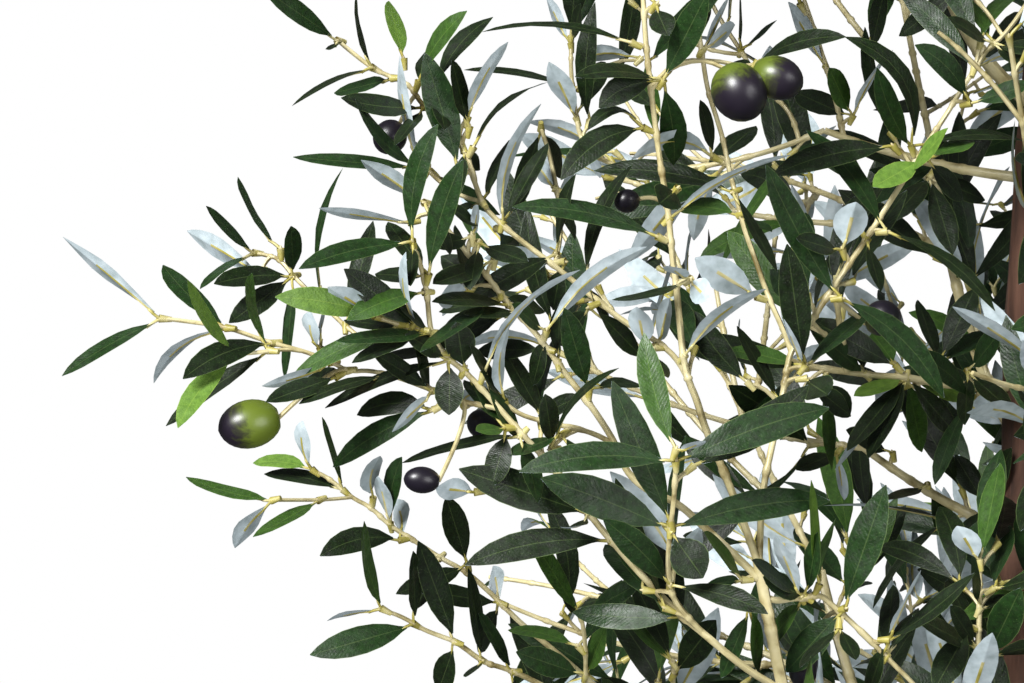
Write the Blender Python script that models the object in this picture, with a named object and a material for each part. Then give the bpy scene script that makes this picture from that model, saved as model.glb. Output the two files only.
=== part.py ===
"""An artificial olive tree in a plain pot, as separate solids.

The tree is made the way such trees are: a brown trunk is cast into a weighted pot, cream
plastic boughs leave the trunk and rise, and each bough carries one or more sprays of forked
stems with large leaves and a few olives. One spray is one node and keeps to its own space.
Units are metres, +Z is up, and the origin is the middle of the pot's flat underside.
"""

import math
import random

import bmesh
import bpy
from mathutils import Matrix, Vector
from mathutils.bvhtree import BVHTree
from mathutils.geometry import interpolate_bezier
from mathutils.kdtree import KDTree

SEED = 41
CLEAR = 0.0003  # gap between pieces that touch

# Pot and filling
POT_HEIGHT = 0.170
POT_FOOT_RADIUS = 0.084
POT_MOUTH_RADIUS = 0.104
POT_WALL = 0.004
POT_FLOOR = 0.006
POT_RIM_HEIGHT = 0.020
POT_RIM_REACH = 0.005
POT_SIDES = 36
FILL_TOP = 0.150

# Trunk: height above the floor, sideways drift of its axis and radius at each station
TRUNK_STATIONS = (
    (FILL_TOP + CLEAR, 0.000, 0.000, 0.036),
    (0.180, 0.000, 0.000, 0.028),
    (0.230, -0.002, 0.001, 0.0245),
    (0.380, -0.007, 0.004, 0.0230),
    (0.560, -0.009, 0.004, 0.0225),
    (0.720, -0.008, 0.000, 0.0215),
    (0.870, -0.0065, -0.002, 0.0205),
    (1.020, -0.0035, 0.000, 0.0188),
    (1.110, 0.001, 0.002, 0.0168),
    (1.190, 0.005, 0.004, 0.0142),
    (1.260, 0.008, 0.005, 0.0110),
)
TRUNK_SIDES = 12

# Boughs and stems
BOUGH_FOOT_RADIUS = 0.0042
BOUGH_TIP_RADIUS = 0.0029
BOUGH_SIDES = 6
BOUGH_STEPS = 6
STEM_FOOT_RADIUS = 0.0026
STEM_TIP_RADIUS = 0.0017
STEM_SIDES = 3
STEM_STEP = 0.065  # length of one straight piece of a stem

# Leaves and olives
LEAF_LENGTH = 0.086
LEAF_SPREAD_DEG = (30.0, 58.0)
LEAF_ROLL_DEG = 70.0
LEAF_HALF_WIDTH = 0.142  # of the length
LEAF_DEPTH = 0.012  # of the length
LEAF_WIDEST_AT = 0.50  # of the length
LEAF_SUNK = 0.0011  # how far past the stem's axis its root reaches
LEAF_TESTED_FROM = 0.008  # the blade nearer its stem may touch that stem
LEAF_SPACING = 0.073
LEAF_TRIES = 4  # between two pairs along a stem
OLIVE_LENGTH = 0.029
OLIVE_RADIUS = 0.0108
OLIVE_STALK_RADIUS = 0.0011
SPACE_MARGIN = 0.0022  # how much nearer to its own stems every point of a spray lies
LIMB_MARGIN = 0.0012  # from a leaf to the trunk or a bough

MATERIALS = {
    "pot_plastic": ((0.030, 0.030, 0.032, 1.0), 0.55),
    "filling": ((0.070, 0.050, 0.035, 1.0), 0.95),
    "trunk_wood": ((0.130, 0.065, 0.040, 1.0), 0.80),
    "stem_plastic": ((0.560, 0.490, 0.270, 1.0), 0.50),
    "foliage": ((0.030, 0.065, 0.025, 1.0), 0.45),
}

# Boughs that stand in front, left of the trunk: foot height, fork and how far the middle bows.
# Every other bough comes from the tiers below.
PLACED_BOUGHS = {
    "front_left": (0.600, (-0.153, -0.150, 0.925), (-0.016, -0.020, -0.030)),
    "left_low": (0.660, (-0.196, -0.030, 0.836), (-0.010, 0.000, -0.020)),
    "left_mid": (0.922, (-0.088, 0.022, 0.968), (0.000, 0.004, -0.004)),
    "left_centre": (1.000, (-0.072, -0.022, 1.003), (0.000, 0.000, -0.003)),
    "left_high": (1.098, (-0.106, 0.030, 1.124), (0.000, 0.004, -0.004)),
}

# Their sprays. A stem is (parent stem or None, share of the parent's length, tip, bow). The
# first stem of a spray leaves its bough at the share of the bough's length given ahead of it.
PLACED_SPRAYS = {
    "front_left_a": (
        1.0,
        (
            (None, 0.0, (-0.214, -0.168, 1.262), (-0.015, 0.0, 0.0)),
            (0, 0.22, (-0.337, -0.146, 1.150), (-0.003, 0.006, -0.007)),
            (0, 0.02, (-0.005, -0.112, 1.215), (-0.018, 0.0, 0.009)),
            (2, 0.26, (-0.196, -0.106, 1.238), (-0.012, 0.0, 0.0)),
            (0, 0.02, (-0.302, -0.178, 1.084), (0.003, 0.0, -0.008)),
        ),
    ),
    "front_left_b": (
        0.86,
        (
            (None, 0.0, (-0.307, -0.196, 1.072), (-0.019, 0.0, -0.016)),
            (0, 0.68, (-0.413, -0.176, 1.029), (0.0, -0.004, 0.002)),
        ),
    ),
    "left_low_a": (
        1.0,
        (
            (None, 0.0, (-0.362, -0.020, 0.974), (0.0, 0.004, 0.002)),
            (0, 0.62, (-0.376, -0.052, 0.940), (0.0, 0.0, 0.003)),
        ),
    ),
    "left_low_b": (0.80, ((None, 0.0, (-0.322, -0.086, 0.893), (0.0, 0.0, -0.004)),)),
    "left_mid_a": (
        1.0,
        (
            (None, 0.0, (-0.232, 0.030, 1.012), (0.0, 0.0, -0.008)),
            (0, 0.40, (-0.158, 0.062, 1.050), (0.0, 0.0, -0.004)),
        ),
    ),
    "left_centre_a": (
        1.0,
        (
            (None, 0.0, (-0.137, -0.034, 1.013), (0.0, 0.0, -0.002)),
            (0, 0.45, (-0.110, -0.056, 1.048), (0.0, 0.0, -0.003)),
        ),
    ),
    "left_high_a": (
        1.0,
        (
            (None, 0.0, (-0.292, 0.060, 1.190), (0.0, 0.0, 0.006)),
            (0, 0.30, (-0.192, 0.080, 1.246), (0.0, 0.0, -0.010)),
        ),
    ),
}

# Olives of the placed sprays: (stem, share of its length, middle of the olive)
PLACED_OLIVES = {
    "front_left_a": ((0, 0.52, (-0.160, -0.176, 1.128)), (0, 0.60, (-0.144, -0.150, 1.136))),
    "front_left_b": ((1, 0.62, (-0.374, -0.190, 0.982)), (0, 0.55, (-0.276, -0.130, 0.984))),
    "left_low_a": ((0, 0.50, (-0.306, -0.044, 0.962)),),
}

# Tiers of boughs: foot height, azimuth (0 is +X, counted towards +Y), fork reach and height,
# reach and height of the rising spray's tip, reach and height of the hanging spray's tip.
TIERS = {
    "low": (
        (0.640, 90.0, 0.170, 0.860, 0.385, 1.100, 0.390, 0.850),
        (0.600, 20.0, 0.190, 0.850, 0.430, 1.060, 0.420, 0.830),
        (0.690, 302.0, 0.180, 0.880, 0.410, 1.085, 0.400, 0.850),
        (0.700, 128.0, 0.160, 0.900, 0.370, 1.110, 0.370, 0.890),
    ),
    "mid": (
        (0.800, 62.0, 0.160, 1.010, 0.380, 1.270, 0.405, 1.030),
        (0.850, 342.0, 0.165, 1.040, 0.400, 1.260, 0.420, 1.040),
        (0.860, 262.0, 0.130, 1.020, 0.300, 1.290, 0.300, 1.010),
        (0.960, 108.0, 0.130, 1.120, 0.330, 1.350, 0.370, 1.130),
    ),
    "top": (
        (1.130, 205.0, 0.080, 1.260, 0.220, 1.480, 0.290, 1.330),
        (1.165, 318.0, 0.085, 1.290, 0.240, 1.500, 0.310, 1.320),
        (1.150, 78.0, 0.080, 1.280, 0.220, 1.510, 0.290, 1.350),
    ),
}
FORK_SHARES = (0.16, 0.38)  # where a generated spray's side stems leave its main stem
FORK_TURN_DEG = 34.0
FORK_LENGTH = 0.74  # of the main stem's
LEADER_TIP = (0.020, 0.010, 1.590)
SPRAY_JITTER = 0.014


def polar(azimuth, reach, height):
    """A point from its bearing round the trunk, its distance from the axis and its height."""
    turn = math.radians(azimuth)
    return Vector((reach * math.cos(turn), reach * math.sin(turn), height))


def curve_points(start, end, bow, steps):
    """Points along a limb whose middle lies `bow` off the straight line."""
    pull = Vector(bow) / 0.75
    start, end = Vector(start), Vector(end)
    first = start.lerp(end, 1 / 3) + pull
    second = start.lerp(end, 2 / 3) + pull
    return interpolate_bezier(start, first, second, end, steps + 1)


def point_on(path, share):
    """The point at a share of a path's pieces, and the direction there."""
    place = min(max(share, 0.0), 0.9999) * (len(path) - 1)
    index = int(place)
    ahead = path[index + 1] - path[index]
    return path[index] + ahead * (place - index), ahead.normalized()


def placed(origin, along, side, width, depth):
    """The matrix of a ring at origin, square to `along`, scaled by width and depth."""
    across = side - along * side.dot(along)
    across.normalize()
    up = along.cross(across)
    turn = Matrix((across, up, along)).transposed().to_4x4()
    return Matrix.Translation(origin) @ turn @ Matrix.Diagonal((width, depth, 1.0, 1.0))


def tube_rings(path, radii):
    """One placed ring for each point of a path, carried along without twist."""
    rings = []
    side = Vector((0.31, 0.87, 0.12))
    for index, (point, radius) in enumerate(zip(path, radii)):
        ahead = path[min(index + 1, len(path) - 1)] - path[max(index - 1, 0)]
        ahead.normalize()
        side = (side - ahead * side.dot(ahead)).normalized()
        rings.append(placed(point, ahead, side, radius, radius))
    return rings


def sweep(mesh, rings, sides, pointed=False):
    """Extrude a capped ring through placed rings; a pointed sweep has a vertex at each end."""
    circle = bmesh.ops.create_circle(
        mesh, cap_ends=True, segments=sides, radius=1.0, matrix=rings[0]
    )
    cap = circle["verts"][0].link_faces[0]
    for before, after in zip(rings, rings[1:]):
        grown = bmesh.ops.extrude_face_region(mesh, geom=[cap, *cap.edges])["geom"]
        cap = next(item for item in grown if isinstance(item, bmesh.types.BMFace))
        bmesh.ops.transform(mesh, matrix=after @ before.inverted(), verts=cap.verts)
    if pointed:
        bmesh.ops.pointmerge(mesh, verts=list(cap.verts), merge_co=rings[-1].translation)
        bmesh.ops.pointmerge(mesh, verts=circle["verts"], merge_co=rings[0].translation)


def finished(mesh):
    """The same bmesh with its faces turned outwards."""
    bmesh.ops.recalc_face_normals(mesh, faces=mesh.faces)
    return mesh


def tube(path, foot_radius, tip_radius, sides):
    """A tapering limb along a path."""
    mesh = bmesh.new()
    last = len(path) - 1
    radii = [foot_radius + (tip_radius - foot_radius) * i / last for i in range(last + 1)]
    sweep(mesh, tube_rings(path, radii), sides)
    return finished(mesh)


def leaf(root, along, side, length, start=-LEAF_SUNK):
    """A keeled blade with a wide middle, pointed at its tip and at its sunken root.

    A later start leaves out the root, for the test that the blade touches nothing.
    """
    mesh = bmesh.new()
    half_width, depth = length * LEAF_HALF_WIDTH, length * LEAF_DEPTH
    rings = [
        placed(root + along * start, along, side, 0.0001, 0.0001),
        placed(root + along * (length * LEAF_WIDEST_AT), along, side, half_width, depth),
        placed(root + along * length, along, side, 0.0001, 0.0001),
    ]
    sweep(mesh, rings, 3, pointed=True)
    return finished(mesh)


def olive(centre, along):
    """An olive, a little longer than it is wide, about its middle."""
    mesh = bmesh.new()
    size = Matrix.Diagonal((OLIVE_RADIUS, OLIVE_RADIUS, OLIVE_LENGTH / 2, 1.0))
    turn = along.to_track_quat("Z", "Y").to_matrix().to_4x4()
    place = Matrix.Translation(centre) @ turn @ size
    bmesh.ops.create_uvsphere(mesh, u_segments=6, v_segments=5, radius=1.0, matrix=place)
    return finished(mesh)


def material(name):
    """The named surface, made once."""
    found = bpy.data.materials.get(name)
    if found is None:
        colour, roughness = MATERIALS[name]
        found = bpy.data.materials.new(name)
        found.use_nodes = True
        surface = found.node_tree.nodes["Principled BSDF"]
        surface.inputs["Base Color"].default_value = colour
        surface.inputs["Roughness"].default_value = roughness
    return found


def add_object(name, mesh, surface, smooth=False):
    """Turn a bmesh into a named object with one material."""
    data = bpy.data.meshes.new(name)
    mesh.to_mesh(data)
    mesh.free()
    data.materials.append(material(surface))
    if smooth:
        data.shade_smooth()
        data.set_sharp_from_angle(angle=math.radians(35.0))
    made = bpy.data.objects.new(name, data)
    bpy.context.scene.collection.objects.link(made)
    return made


def turned(profile, sides):
    """A closed ring of revolution from (radius, height) corners, first and last on the axis."""
    mesh = bmesh.new()
    corners = [mesh.verts.new((radius, 0.0, height)) for radius, height in profile]
    edges = [mesh.edges.new(pair) for pair in zip(corners, corners[1:])]
    bmesh.ops.spin(
        mesh,
        geom=corners + edges,
        axis=(0.0, 0.0, 1.0),
        cent=(0.0, 0.0, 0.0),
        angle=2 * math.pi,
        steps=sides,
        use_merge=True,
    )
    bmesh.ops.remove_doubles(mesh, verts=mesh.verts, dist=0.00001)
    return finished(mesh)


def pot_radius(height):
    """The pot's outer radius at a height."""
    return POT_FOOT_RADIUS + (POT_MOUTH_RADIUS - POT_FOOT_RADIUS) * height / POT_HEIGHT


def build_pot():
    """The pot, with a raised rim band, and its solid weighted filling."""
    band = POT_HEIGHT - POT_RIM_HEIGHT
    bevel = 0.002
    profile = (
        (0.0, 0.0),
        (POT_FOOT_RADIUS - bevel, 0.0),
        (POT_FOOT_RADIUS, bevel),
        (pot_radius(band), band),
        (pot_radius(band) + POT_RIM_REACH, band + bevel),
        (POT_MOUTH_RADIUS + POT_RIM_REACH, POT_HEIGHT - bevel),
        (POT_MOUTH_RADIUS + POT_RIM_REACH - bevel, POT_HEIGHT),
        (POT_MOUTH_RADIUS - POT_WALL, POT_HEIGHT),
        (pot_radius(POT_FLOOR) - POT_WALL, POT_FLOOR),
        (0.0, POT_FLOOR),
    )
    add_object("pot", turned(profile, POT_SIDES), "pot_plastic", smooth=True)
    foot = POT_FLOOR + CLEAR
    inner = POT_WALL + 2 * CLEAR
    profile = (
        (0.0, foot),
        (pot_radius(foot) - inner, foot),
        (pot_radius(FILL_TOP) - inner, FILL_TOP),
        (0.0, FILL_TOP),
    )
    add_object("pot_filling", turned(profile, POT_SIDES), "filling")


def trunk_axis():
    """The points of the trunk's axis and its radius at each."""
    path = [Vector((x, y, height)) for height, x, y, _ in TRUNK_STATIONS]
    return path, [station[3] for station in TRUNK_STATIONS]


def trunk_point(height):
    """The trunk's axis at a height."""
    path, _ = trunk_axis()
    for low, high in zip(path, path[1:]):
        if height <= high.z:
            return low.lerp(high, (height - low.z) / (high.z - low.z))
    return path[-1]


def level_rings(path, radii):
    """Rings that lie level, so that the trunk's foot is cut flat."""
    return [
        placed(point, Vector((0, 0, 1)), Vector((1, 0, 0)), radius, radius)
        for point, radius in zip(path, radii)
    ]


def build_trunk(name, grow=0.0):
    """The trunk, or with `grow` a slightly fatter copy that cuts the boughs clear of it."""
    path, radii = trunk_axis()
    mesh = bmesh.new()
    sweep(mesh, level_rings(path, [radius + grow for radius in radii]), TRUNK_SIDES)
    return add_object(name, finished(mesh), "trunk_wood", smooth=True)


def as_cutter(helper):
    """Keep a helper out of the model."""
    helper.hide_render = True
    helper.display_type = "WIRE"
    return helper


def cut(target, cutter):
    """Take the cutter's shape out of the target at once."""
    change = target.modifiers.new("clear", "BOOLEAN")
    change.operation = "DIFFERENCE"
    change.solver = "EXACT"
    change.object = cutter
    apply_modifiers(target)


def apply_modifiers(target):
    """Replace an object's mesh by what its modifiers make of it."""
    graph = bpy.context.evaluated_depsgraph_get()
    data = bpy.data.meshes.new_from_object(target.evaluated_get(graph))
    target.modifiers.clear()
    target.data = data


def keep_largest_body(target):
    """Drop loose scraps and sealed hollows, keeping the body with the most vertices."""
    mesh = bmesh.new()
    mesh.from_mesh(target.data)
    left = set(mesh.verts)
    bodies = []
    while left:
        seed = left.pop()
        body, waiting = {seed}, [seed]
        while waiting:
            vert = waiting.pop()
            for edge in vert.link_edges:
                other = edge.other_vert(vert)
                if other not in body:
                    body.add(other)
                    waiting.append(other)
        left -= body
        bodies.append(body)
    bodies.sort(key=len)
    for body in bodies[:-1]:
        bmesh.ops.delete(mesh, geom=list(body), context="VERTS")
    mesh.to_mesh(target.data)
    mesh.free()


class Spray:
    """One mass of foliage: forked stems that start at a bough or at the trunk's tip."""

    def __init__(self, name, bough, share, olives=()):
        self.name = name
        self.bough = bough
        self.share = share
        self.olives = olives
        self.paths = []
        self.random = random.Random(f"{SEED} {name}")

    def add_stem(self, start, tip, bow):
        """Add a stem and return its points."""
        steps = max(3, round((Vector(tip) - Vector(start)).length / STEM_STEP))
        path = curve_points(start, tip, bow, steps)
        self.paths.append(path)
        return path


def build_boughs(trunk_cutter):
    """Every bough as (path, object), cut clear of the trunk at its foot."""
    plan = {}
    for name, (foot, fork, bow) in PLACED_BOUGHS.items():
        plan[name] = (foot, Vector(fork), Vector(bow))
    for tier, rows in TIERS.items():
        for number, (foot, azimuth, reach, height, *_) in enumerate(rows, 1):
            bow = polar(azimuth, 0.012, -0.022)
            plan[f"{tier}_{number}"] = (foot, polar(azimuth, reach, height), bow)
    boughs = {}
    for name, (foot, fork, bow) in plan.items():
        path = curve_points(trunk_point(foot), fork, bow, BOUGH_STEPS)
        made = add_object(
            f"bough_{name}",
            tube(path, BOUGH_FOOT_RADIUS, BOUGH_TIP_RADIUS, BOUGH_SIDES),
            "stem_plastic",
            smooth=True,
        )
        cut(made, trunk_cutter)
        keep_largest_body(made)
        boughs[name] = (path, made)
    return boughs


def placed_sprays(boughs):
    """The sprays whose stems are given one by one."""
    sprays = []
    for name, (share, stems) in PLACED_SPRAYS.items():
        bough = name.rsplit("_", 1)[0]
        spray = Spray(name, bough, share, PLACED_OLIVES.get(name, ()))
        for parent, parent_share, tip, bow in stems:
            if parent is None:
                start, _ = point_on(boughs[bough][0], share)
            else:
                start, _ = point_on(spray.paths[parent], parent_share)
            spray.add_stem(start, tip, bow)
        sprays.append(spray)
    return sprays


def fork(spray, azimuth):
    """Add the side stems of a generated spray, one to each side of its main stem."""
    main = spray.paths[0]
    reach = (main[-1] - main[0]).length
    for side, share in zip((1, -1), FORK_SHARES):
        start, _ = point_on(main, share)
        swing = Matrix.Rotation(math.radians(side * FORK_TURN_DEG), 3, "Z")
        ahead = swing @ (main[-1] - start)
        if abs(ahead.z) > 0.8 * ahead.length:
            ahead += polar(azimuth + side * 80, 0.35 * ahead.length, 0.0)
        tip = start + ahead.normalized() * reach * FORK_LENGTH
        tip.z += spray.random.uniform(-SPRAY_JITTER, SPRAY_JITTER)
        spray.add_stem(start, tip, (0.0, 0.0, -0.05 * reach))


def generated_sprays(boughs):
    """A rising and a hanging spray for each bough of the tiers."""
    sprays = []
    for tier, rows in TIERS.items():
        for number, row in enumerate(rows, 1):
            azimuth, tips = row[1], (row[4:6], row[6:8])
            for letter, share, turn, (reach, height) in zip("ab", (1.0, 0.76), (-9, 13), tips):
                name = f"{tier}_{number}_{letter}"
                spray = Spray(name, f"{tier}_{number}", share)
                start, _ = point_on(boughs[spray.bough][0], share)
                tip = polar(azimuth + turn, reach, height)
                spray.add_stem(start, tip, (0.0, 0.0, -0.010 if letter == "a" else 0.012))
                fork(spray, azimuth + turn)
                sprays.append(spray)
    leader = Spray("leader", None, 1.0)
    leader.add_stem(trunk_axis()[0][-1], LEADER_TIP, (0.0, 0.0, 0.0))
    fork(leader, 0.0)
    sprays.append(leader)
    return sprays


class Spaces:
    """Which spray's space a point lies in, and how near the limbs are."""

    def __init__(self, sprays, limbs):
        marks = [
            (point_on(path, step / 24)[0], number)
            for number, spray in enumerate(sprays)
            for path in spray.paths
            for step in range(25)
        ]
        self.tree = KDTree(len(marks))
        self.owner = [number for _, number in marks]
        for index, (point, _) in enumerate(marks):
            self.tree.insert(point, index)
        self.tree.balance()
        self.limbs = limbs

    def holds(self, number, point):
        """True if the point is nearer to this spray's stems than to any other's."""
        near = self.tree.find_n(point, 60)
        own = next((d for _, i, d in near if self.owner[i] == number), None)
        other = next((d for _, i, d in near if self.owner[i] != number), math.inf)
        return own is not None and own + SPACE_MARGIN < other

    def clear_of_limbs(self, point):
        """True if the point is clear of the trunk and of every bough."""
        return all(
            tree.find_nearest(point, LIMB_MARGIN)[0] is None for tree in self.limbs
        )


def fits(mesh, spray_number, spaces, limb_trees, own_trees):
    """True if a blade keeps to its space and touches no limb and none of its own spray."""
    mesh.verts.ensure_lookup_table()
    corners = [vert.co.copy() for vert in mesh.verts]
    middles = [(edge.verts[0].co + edge.verts[1].co) / 2 for edge in mesh.edges]
    if not all(spaces.holds(spray_number, point) for point in corners + middles):
        return False
    if not all(spaces.clear_of_limbs(point) for point in corners + middles):
        return False
    tree = BVHTree.FromBMesh(mesh)
    return not any(tree.overlap(other) for other in limb_trees + own_trees)


def leaf_side(along, lean):
    """The direction across a blade whose face leans up and outwards."""
    facing = Vector((0.0, 0.0, 1.0)) + lean
    side = along.cross(facing)
    return side.normalized() if side.length > 0.05 else along.orthogonal().normalized()


def grow_leaves(spray, number, spaces, limb_trees):
    """The blades of a spray: a pair at each node of each stem, turned a quarter each time."""
    draw = spray.random
    leaves, own_trees = [], []
    for order, path in enumerate(spray.paths):
        length = sum((b - a).length for a, b in zip(path, path[1:]))
        nodes = max(2, round(length / LEAF_SPACING))
        bare = 0.34 if order == 0 else 0.22
        for node in range(nodes + 1):
            share = bare + (1.0 - bare) * node / nodes
            root, ahead = point_on(path, min(share, 0.985))
            plane = ahead.orthogonal().normalized()
            plane = Matrix.Rotation(math.pi / 2 * node + draw.uniform(0, 0.7), 3, ahead) @ plane
            for sign in (1, -1):
                for _ in range(LEAF_TRIES):
                    swing = Matrix.Rotation(draw.uniform(-0.5, 0.5), 3, ahead) @ plane * sign
                    spread = math.radians(draw.uniform(*LEAF_SPREAD_DEG))
                    size = LEAF_LENGTH * draw.uniform(0.86, 1.08)
                    along = (ahead * math.cos(spread) + swing * math.sin(spread)).normalized()
                    side = leaf_side(along, ahead * 0.4)
                    roll = math.radians(draw.uniform(-LEAF_ROLL_DEG, LEAF_ROLL_DEG))
                    side = Matrix.Rotation(roll, 3, along) @ side
                    blade = leaf(root, along, side, size, start=LEAF_TESTED_FROM)
                    room = fits(blade, number, spaces, limb_trees, own_trees)
                    if room:
                        own_trees.append(BVHTree.FromBMesh(blade))
                        leaves.append(leaf(root, along, side, size))
                    blade.free()
                    if room:
                        break
    return leaves, own_trees


def grow_olives(spray, number, spaces, limb_trees, own_trees):
    """The olives of a spray with their stalks, placed or hanging where there is room."""
    grown = []
    wanted = []
    for stem, share, middle in spray.olives:
        wanted.append((point_on(spray.paths[stem], share)[0], Vector(middle)))
    if not wanted:
        for share in (0.55, 0.7, 0.45, 0.8):
            root, _ = point_on(spray.paths[spray.random.randrange(len(spray.paths))], share)
            swing = polar(spray.random.uniform(0, 360), 0.016, -0.030)
            wanted.append((root, root + swing))
    for root, middle in wanted:
        away = (middle - root).normalized()
        fruit = olive(middle, away)
        if fits(fruit, number, spaces, limb_trees, own_trees):
            stalk = tube([root, middle], OLIVE_STALK_RADIUS, OLIVE_STALK_RADIUS, 3)
            own_trees.append(BVHTree.FromBMesh(fruit))
            grown += [stalk, fruit]
            if not spray.olives:
                break
        else:
            fruit.free()
    return grown


def join(spray, parts, cutters):
    """Union a spray's stems, leaves and olives in one node and cut its foot clear."""
    stems = [tube(path, STEM_FOOT_RADIUS, STEM_TIP_RADIUS, STEM_SIDES) for path in spray.paths]
    body = add_object(f"foliage_{spray.name}", stems[0], "foliage")
    added = bpy.data.collections.new(spray.name)
    bpy.context.scene.collection.children.link(added)
    for index, mesh in enumerate(stems[1:] + parts):
        item = add_object(f"{spray.name}_item_{index}", mesh, "foliage")
        bpy.context.scene.collection.objects.unlink(item)
        added.objects.link(item)
    change = body.modifiers.new("join", "BOOLEAN")
    change.operation = "UNION"
    change.solver = "MANIFOLD"
    change.operand_type = "COLLECTION"
    change.collection = added
    apply_modifiers(body)
    for item in list(added.objects):
        bpy.data.objects.remove(item)
    bpy.data.collections.remove(added)
    for cutter in cutters:
        cut(body, cutter)
    keep_largest_body(body)


def mesh_tree(target):
    """A search tree over an object's faces."""
    mesh = bmesh.new()
    mesh.from_mesh(target.data)
    tree = BVHTree.FromBMesh(mesh)
    mesh.free()
    return tree


def main():
    """Build the pot, the trunk, the boughs and the foliage."""
    for old in list(bpy.data.objects):
        bpy.data.objects.remove(old)
    build_pot()
    trunk = build_trunk("trunk")
    trunk_cutter = as_cutter(build_trunk("trunk_cutter", grow=1.5 * CLEAR))
    boughs = build_boughs(trunk_cutter)
    sprays = placed_sprays(boughs) + generated_sprays(boughs)
    limb_trees = [mesh_tree(trunk)] + [mesh_tree(made) for _, made in boughs.values()]
    spaces = Spaces(sprays, limb_trees)
    bough_cutters = {}
    for name, (path, _) in boughs.items():
        fat = tube(
            path + [path[-1] + point_on(path, 1.0)[1] * 1.5 * CLEAR],
            BOUGH_FOOT_RADIUS + 2 * CLEAR,
            BOUGH_TIP_RADIUS + 2 * CLEAR,
            BOUGH_SIDES,
        )
        bough_cutters[name] = as_cutter(add_object(f"cutter_{name}", fat, "stem_plastic"))
    for number, spray in enumerate(sprays):
        leaves, own_trees = grow_leaves(spray, number, spaces, limb_trees)
        fruit = grow_olives(spray, number, spaces, limb_trees, own_trees)
        cutter = trunk_cutter if spray.bough is None else bough_cutters[spray.bough]
        join(spray, leaves + fruit, [cutter])
        print(spray.name, "stems", len(spray.paths), "leaves", len(leaves), "fruit", len(fruit) // 2)


main()
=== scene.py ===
"""The looks of an artificial olive tree in a plain pot, dressed round its solid model.

The boughs and the main stems repeat the rule and the named sizes of the solid model. Side twigs,
leaves, buds and olives then grow on from them, each kind joined into one piece for every bough.
Units are metres, +Z is up, and the origin is the middle of the pot's flat underside.
"""

import logging
import math
import random
from collections.abc import Iterable, Sequence
from dataclasses import dataclass, field
from enum import Enum

import bmesh
import bpy
import numpy as np
from mathutils import Matrix, Vector, noise
from mathutils.bvhtree import BVHTree
from mathutils.geometry import interpolate_bezier


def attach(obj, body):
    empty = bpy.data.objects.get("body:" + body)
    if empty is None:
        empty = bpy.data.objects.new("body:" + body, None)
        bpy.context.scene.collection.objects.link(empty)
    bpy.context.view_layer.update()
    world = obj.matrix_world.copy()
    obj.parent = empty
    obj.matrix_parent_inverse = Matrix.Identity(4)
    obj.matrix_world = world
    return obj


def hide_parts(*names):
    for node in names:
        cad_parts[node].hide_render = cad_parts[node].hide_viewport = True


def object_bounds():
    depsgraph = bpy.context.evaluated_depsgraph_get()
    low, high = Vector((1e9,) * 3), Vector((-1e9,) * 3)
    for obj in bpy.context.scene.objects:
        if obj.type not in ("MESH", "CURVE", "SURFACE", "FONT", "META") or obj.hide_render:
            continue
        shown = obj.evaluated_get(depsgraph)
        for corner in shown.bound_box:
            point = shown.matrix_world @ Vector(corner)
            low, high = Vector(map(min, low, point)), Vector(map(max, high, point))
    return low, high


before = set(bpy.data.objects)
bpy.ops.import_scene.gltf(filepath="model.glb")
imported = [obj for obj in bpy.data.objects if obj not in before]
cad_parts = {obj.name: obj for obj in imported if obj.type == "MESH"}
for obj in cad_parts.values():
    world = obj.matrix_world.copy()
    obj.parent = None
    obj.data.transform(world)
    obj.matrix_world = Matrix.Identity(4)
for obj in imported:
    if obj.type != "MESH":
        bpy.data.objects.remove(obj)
CAD_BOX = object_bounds()

LOG = logging.getLogger("olive_tree")
SEED = 41
BODY = "root"
UP = Vector((0.0, 0.0, 1.0))
Pair = tuple[float, float]  # a foot and a tip, or the least and the most

# ---------------------------------------------------------------------------------------------
# The plan of the boughs, shared with the solid model
# ---------------------------------------------------------------------------------------------

# Boughs that are placed one by one: foot height, fork, and how far the middle bows
PLACED_BOUGHS = {
    "front_left": (0.600, (-0.153, -0.150, 0.925), (-0.016, -0.020, -0.030)),
    "left_low": (0.660, (-0.196, -0.030, 0.836), (-0.010, 0.000, -0.020)),
    "left_mid": (0.922, (-0.088, 0.022, 0.968), (0.000, 0.004, -0.004)),
    "left_centre": (1.000, (-0.072, -0.022, 1.003), (0.000, 0.000, -0.003)),
    "left_high": (1.098, (-0.106, 0.030, 1.124), (0.000, 0.004, -0.004)),
}

# Main stems of two of their sprays: parent stem or None, share of its length, tip, bow
PLACED_SPRAYS = {
    "left_mid_a": (
        (None, 1.0, (-0.232, 0.030, 1.012), (0.0, 0.0, -0.008)),
        (0, 0.40, (-0.158, 0.062, 1.050), (0.0, 0.0, -0.004)),
    ),
    "left_centre_a": (
        (None, 1.0, (-0.137, -0.034, 1.013), (0.0, 0.0, -0.002)),
        (0, 0.45, (-0.110, -0.056, 1.048), (0.0, 0.0, -0.003)),
    ),
}
# The other sprays of these boughs are laid stem by stem in the camera's frame, as below
FRONT_SPRAYS = ("front_left_a", "front_left_b", "left_low_a", "left_low_b")
LAID_SPRAYS = (*FRONT_SPRAYS, "left_high_a")

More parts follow.
